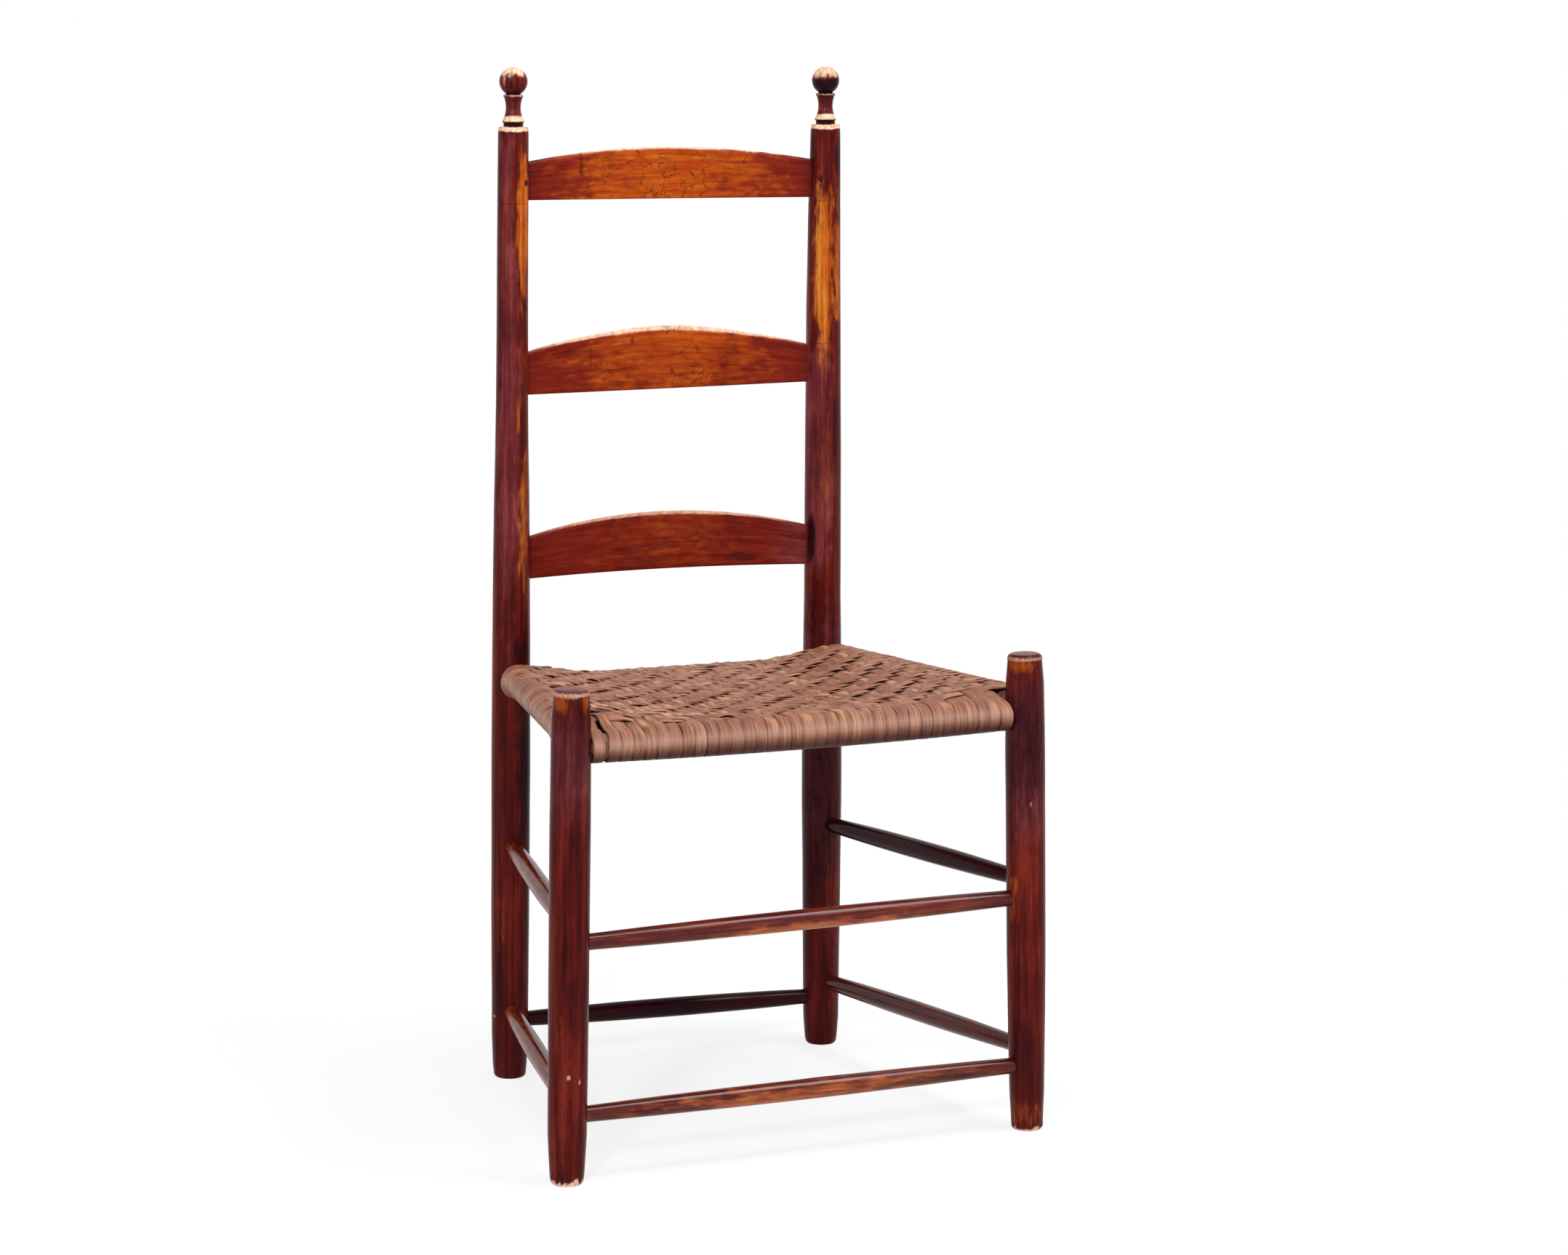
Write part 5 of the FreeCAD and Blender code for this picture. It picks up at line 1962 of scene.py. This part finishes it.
    def build(self, material: Material) -> None:
        """Weave the seat: full warps, the wings beside them, then the wefts.

        Args:
            material: the splint's finish.
        """
        last_wing = self.columns - self.wings
        groups = (
            ("splint_warps", range(self.wings, last_wing), self.warp,
             ["splint_seat_top", "splint_seat_underside", "splint_wrap_front",
              "splint_wrap_rear"]),
            ("splint_wings", [*range(self.wings), *range(last_wing, self.columns)],
             self.warp, []),
            ("splint_wefts", range(self.rows), self.weft,
             ["splint_wrap_left", "splint_wrap_right"]),
        )
        number = 0
        for name, places, lay, replaced in groups:
            mesh_maker = bmesh.new()
            for place in places:
                number += 1
                lay(mesh_maker, place, number)
            bmesh.ops.recalc_face_normals(mesh_maker, faces=mesh_maker.faces)
            piece = finish_piece(mesh_maker, name, material, replaced, 60.0)
            solid = piece.modifiers.new("strip_thickness", "SOLIDIFY")
            solid.thickness = self.strip_thickness
            solid.offset = 0.0
            solid.use_even_offset = False


@dataclass
class Studio:
    """The white studio: floor, sky, lamps and the camera of the photograph."""

    camera_place: Vector = field(default_factory=lambda: Vector((-1.439, -3.5017, 1.1385)))
    yaw_deg: float = 23.08
    pitch_deg: float = 9.69
    roll_deg: float = 0.50
    focal_px: float = 5295.2
    sensor_width: float = 36.0
    image_width_px: float = 2156.0
    clip: tuple[float, float] = (0.05, 60.0)
    aim: Vector = field(default_factory=lambda: Vector((0.0, 0.0, 0.5)))
    sky_strength: float = 0.47
    floor_half: float = 9.0
    floor_drop: float = 0.2 * MM
    shadow_floor: float = 0.8
    shadow_reach: tuple[float, float] = (0.25, 1.1)

    def add_camera(self) -> None:
        """Stand the camera where the photograph was taken from."""
        yaw, pitch, roll = (math.radians(a) for a in (self.yaw_deg, self.pitch_deg, self.roll_deg))
        right = Vector((math.cos(yaw), -math.sin(yaw), 0.0))
        ahead = Vector((
            math.sin(yaw) * math.cos(pitch), math.cos(yaw) * math.cos(pitch), -math.sin(pitch),
        ))
        above = right.cross(ahead)
        rolled_right = right * math.cos(roll) + above * math.sin(roll)
        rolled_up = above * math.cos(roll) - right * math.sin(roll)
        turn = Matrix((rolled_right, rolled_up, -ahead)).transposed().to_4x4()
        data = bpy.data.cameras.new("photograph_camera")
        data.sensor_width = self.sensor_width
        data.lens = self.focal_px * self.sensor_width / self.image_width_px
        data.clip_start, data.clip_end = self.clip
        camera = add_object("photograph_camera", data)
        camera.matrix_world = Matrix.Translation(self.camera_place) @ turn
        bpy.context.scene.camera = camera

    def seen_directly(self, tree: NodeTree) -> Node:
        """Return 1 for rays that show the background itself, by eye, gloss or glass.

        Args:
            tree: the floor's or the sky's tree.

        Returns:
            What gives it.
        """
        path = add_node(tree, "ShaderNodeLightPath").outputs
        seen = path["Is Camera Ray"]
        for ray in ("Is Glossy Ray", "Is Transmission Ray"):
            seen = add_node(tree, "ShaderNodeMath", {
                "Value": seen, "Value_001": path[ray],
            }, operation="MAXIMUM")
        return seen

    def add_floor(self) -> None:
        """Lay a white paper floor that keeps a soft shadow."""
        material, tree = new_material("white_paper_floor")
        where = add_node(tree, "ShaderNodeTexCoord").outputs["Object"]
        fibres = add_node(tree, "ShaderNodeTexNoise", {"Vector": where, "Scale": 3.0})
        tint = add_node(
            tree, "ShaderNodeValToRGB", {"Fac": fibres},
            stops=((0.3, "F6F6F6"), (0.7, "FAFAFA")),
        )
        paper = add_node(tree, "ShaderNodeBsdfDiffuse", {"Color": tint})
        white = add_node(tree, "ShaderNodeEmission", {"Color": (1, 1, 1, 1), "Strength": 1.0})
        away = add_node(tree, "ShaderNodeVectorMath", {"Vector": where}, operation="LENGTH")
        blank = add_node(tree, "ShaderNodeMapRange", {
            "Value": away.outputs["Value"], "To Min": self.shadow_floor, "To Max": 1.0,
            "From Min": self.shadow_reach[0], "From Max": self.shadow_reach[1],
        }, interpolation_type="SMOOTHSTEP")
        part = add_node(tree, "ShaderNodeMath", {
            "Value": self.seen_directly(tree), "Value_001": blank,
        }, operation="MULTIPLY")
        both = add_node(tree, "ShaderNodeMixShader", {
            "Fac": part, "Shader": paper, "Shader_001": white,
        })
        add_node(tree, "ShaderNodeOutputMaterial", {"Surface": both})
        mesh_maker = bmesh.new()
        bmesh.ops.create_grid(mesh_maker, x_segments=2, y_segments=2, size=self.floor_half)
        floor = add_mesh(mesh_maker, "studio_floor", material)
        floor.location.z = -self.floor_drop

    def add_sky(self) -> None:
        """Surround the chair with soft white light, white where it is seen directly."""
        world = bpy.data.worlds.new("studio_sky")
        world.use_nodes = True
        tree = world.node_tree
        tree.nodes.clear()
        dim, seen = (
            add_node(tree, "ShaderNodeBackground", {"Color": (1, 1, 1, 1), "Strength": strength})
            for strength in (self.sky_strength, 1.0)
        )
        both = add_node(tree, "ShaderNodeMixShader", {
            "Fac": self.seen_directly(tree), "Shader": dim, "Shader_001": seen,
        })
        add_node(tree, "ShaderNodeOutputWorld", {"Surface": both})
        bpy.context.scene.world = world

    def add_lamp(self, name: str, place: Vector, size: float, watts: float) -> None:
        """Hang a square soft lamp that looks at the chair.

        Args:
            name: the lamp's name.
            place: where it hangs.
            size: the length of its side.
            watts: its power.
        """
        data = bpy.data.lights.new(name, "AREA")
        data.shape = "SQUARE"
        data.size = size
        data.energy = watts
        turn = (self.aim - place).to_track_quat("-Z", "Y").to_matrix().to_4x4()
        add_object(name, data).matrix_world = Matrix.Translation(place) @ turn

    def build(self) -> None:
        """Set up the whole studio."""
        bpy.context.scene.view_settings.view_transform = "Standard"
        self.add_floor()
        self.add_sky()
        self.add_lamp("overhead_soft_box", Vector((-0.3, -0.2, 2.9)), 1.1, 22.0)
        self.add_lamp("right_soft_box", Vector((1.15, -0.85, 2.75)), 1.2, 54.0)
        self.add_lamp("front_left_soft_box", Vector((-2.3, -2.9, 2.1)), 0.35, 80.0)
        self.add_camera()


@dataclass
class LadderbackChair:
    """The whole chair: posts, stretchers, slats, pins and the woven seat."""

    layout: ChairLayout = field(default_factory=ChairLayout)

    def build_posts(self) -> None:
        """Build the four posts."""
        material = POST_FINISH.build()
        for seed, side in enumerate(("left", "right"), start=1):
            FrontPost(
                side, self.layout.post("front", side), FRONT_WEAR[side], seed,
                stations=FRONT_STATIONS[side],
            ).build(material)
        for seed, side in enumerate(("left", "right"), start=3):
            RearPost(
                side, self.layout.post("rear", side), REAR_WEAR[side], seed,
                stations=REAR_STATIONS[side], top_bend=TOP_BENDS[side] * MM, chips=1.2 * MM,
                scribe_lines=[line * MM for line in SCRIBE_LINES[side]],
            ).build(material)

    def build_stretchers(self) -> None:
        """Build the seven stretchers."""
        glossy = STRETCHER_FINISH.build()
        dull = SHADED_RUNG_FINISH.build()
        skins = {"front": 19.9 * MM, "rear": 20.8 * MM}
        for seed, (name, start, end, wear) in enumerate(STRETCHERS, start=10):
            near, far = ((*at[:2], at[2] * MM) for at in (start, end))
            axis = self.layout.rod(near, far, FRONT if start[0] == end[0] else -RIGHT)
            material = dull if name in SHADED_RUNGS else glossy
            Stretcher(name, axis, skins[start[0]], skins[end[0]], seed, wear).build(material)

    def build_slats(self) -> None:
        """Build the three slats and the two pins of the top one."""
        material = SLAT_FINISH.build()
        end_gap = 4.0 * MM
        for seed, (name, shape) in enumerate(SLAT_SHAPES.items(), start=20):
            lower, height, arch, belly, upper_tilt, lower_tilt, drop = (
                length * MM for length in shape
            )
            reach = self.layout.on_post("rear", "right", lower + height / 2).x - end_gap
            BentSlat(
                f"{name}_slat", lower, reach, height, arch, belly, upper_tilt, lower_tilt, seed,
                SLAT_WEAR[name], shoulder_drop=drop,
            ).build(material)
        pin_material = PIN_FINISH.build()
        for seed, side in enumerate(("left", "right"), start=30):
            low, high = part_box(f"top_slat_pin_{side}")
            centre = (low + high) / 2
            SlatPin(side, Vector((centre.x, low.y, centre.z)), seed).build(pin_material)

    def build(self) -> None:
        """Build every sub-assembly."""
        self.build_posts()
        self.build_stretchers()
        self.build_slats()
        SplintSeat(self.layout).build(SplintFinish().build())
        rail_material = BareAsh().build()
        for rail in ("front", "rear", "left", "right"):
            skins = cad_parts[f"{rail}_seat_rail"].data.materials
            skins.clear()
            skins.append(rail_material)


def main() -> None:
    """Build the chair and its studio."""
    logging.basicConfig(level=logging.INFO, format="%(name)s %(message)s")
    LadderbackChair().build()
    Studio().build()


if __name__ == "__main__":
    main()
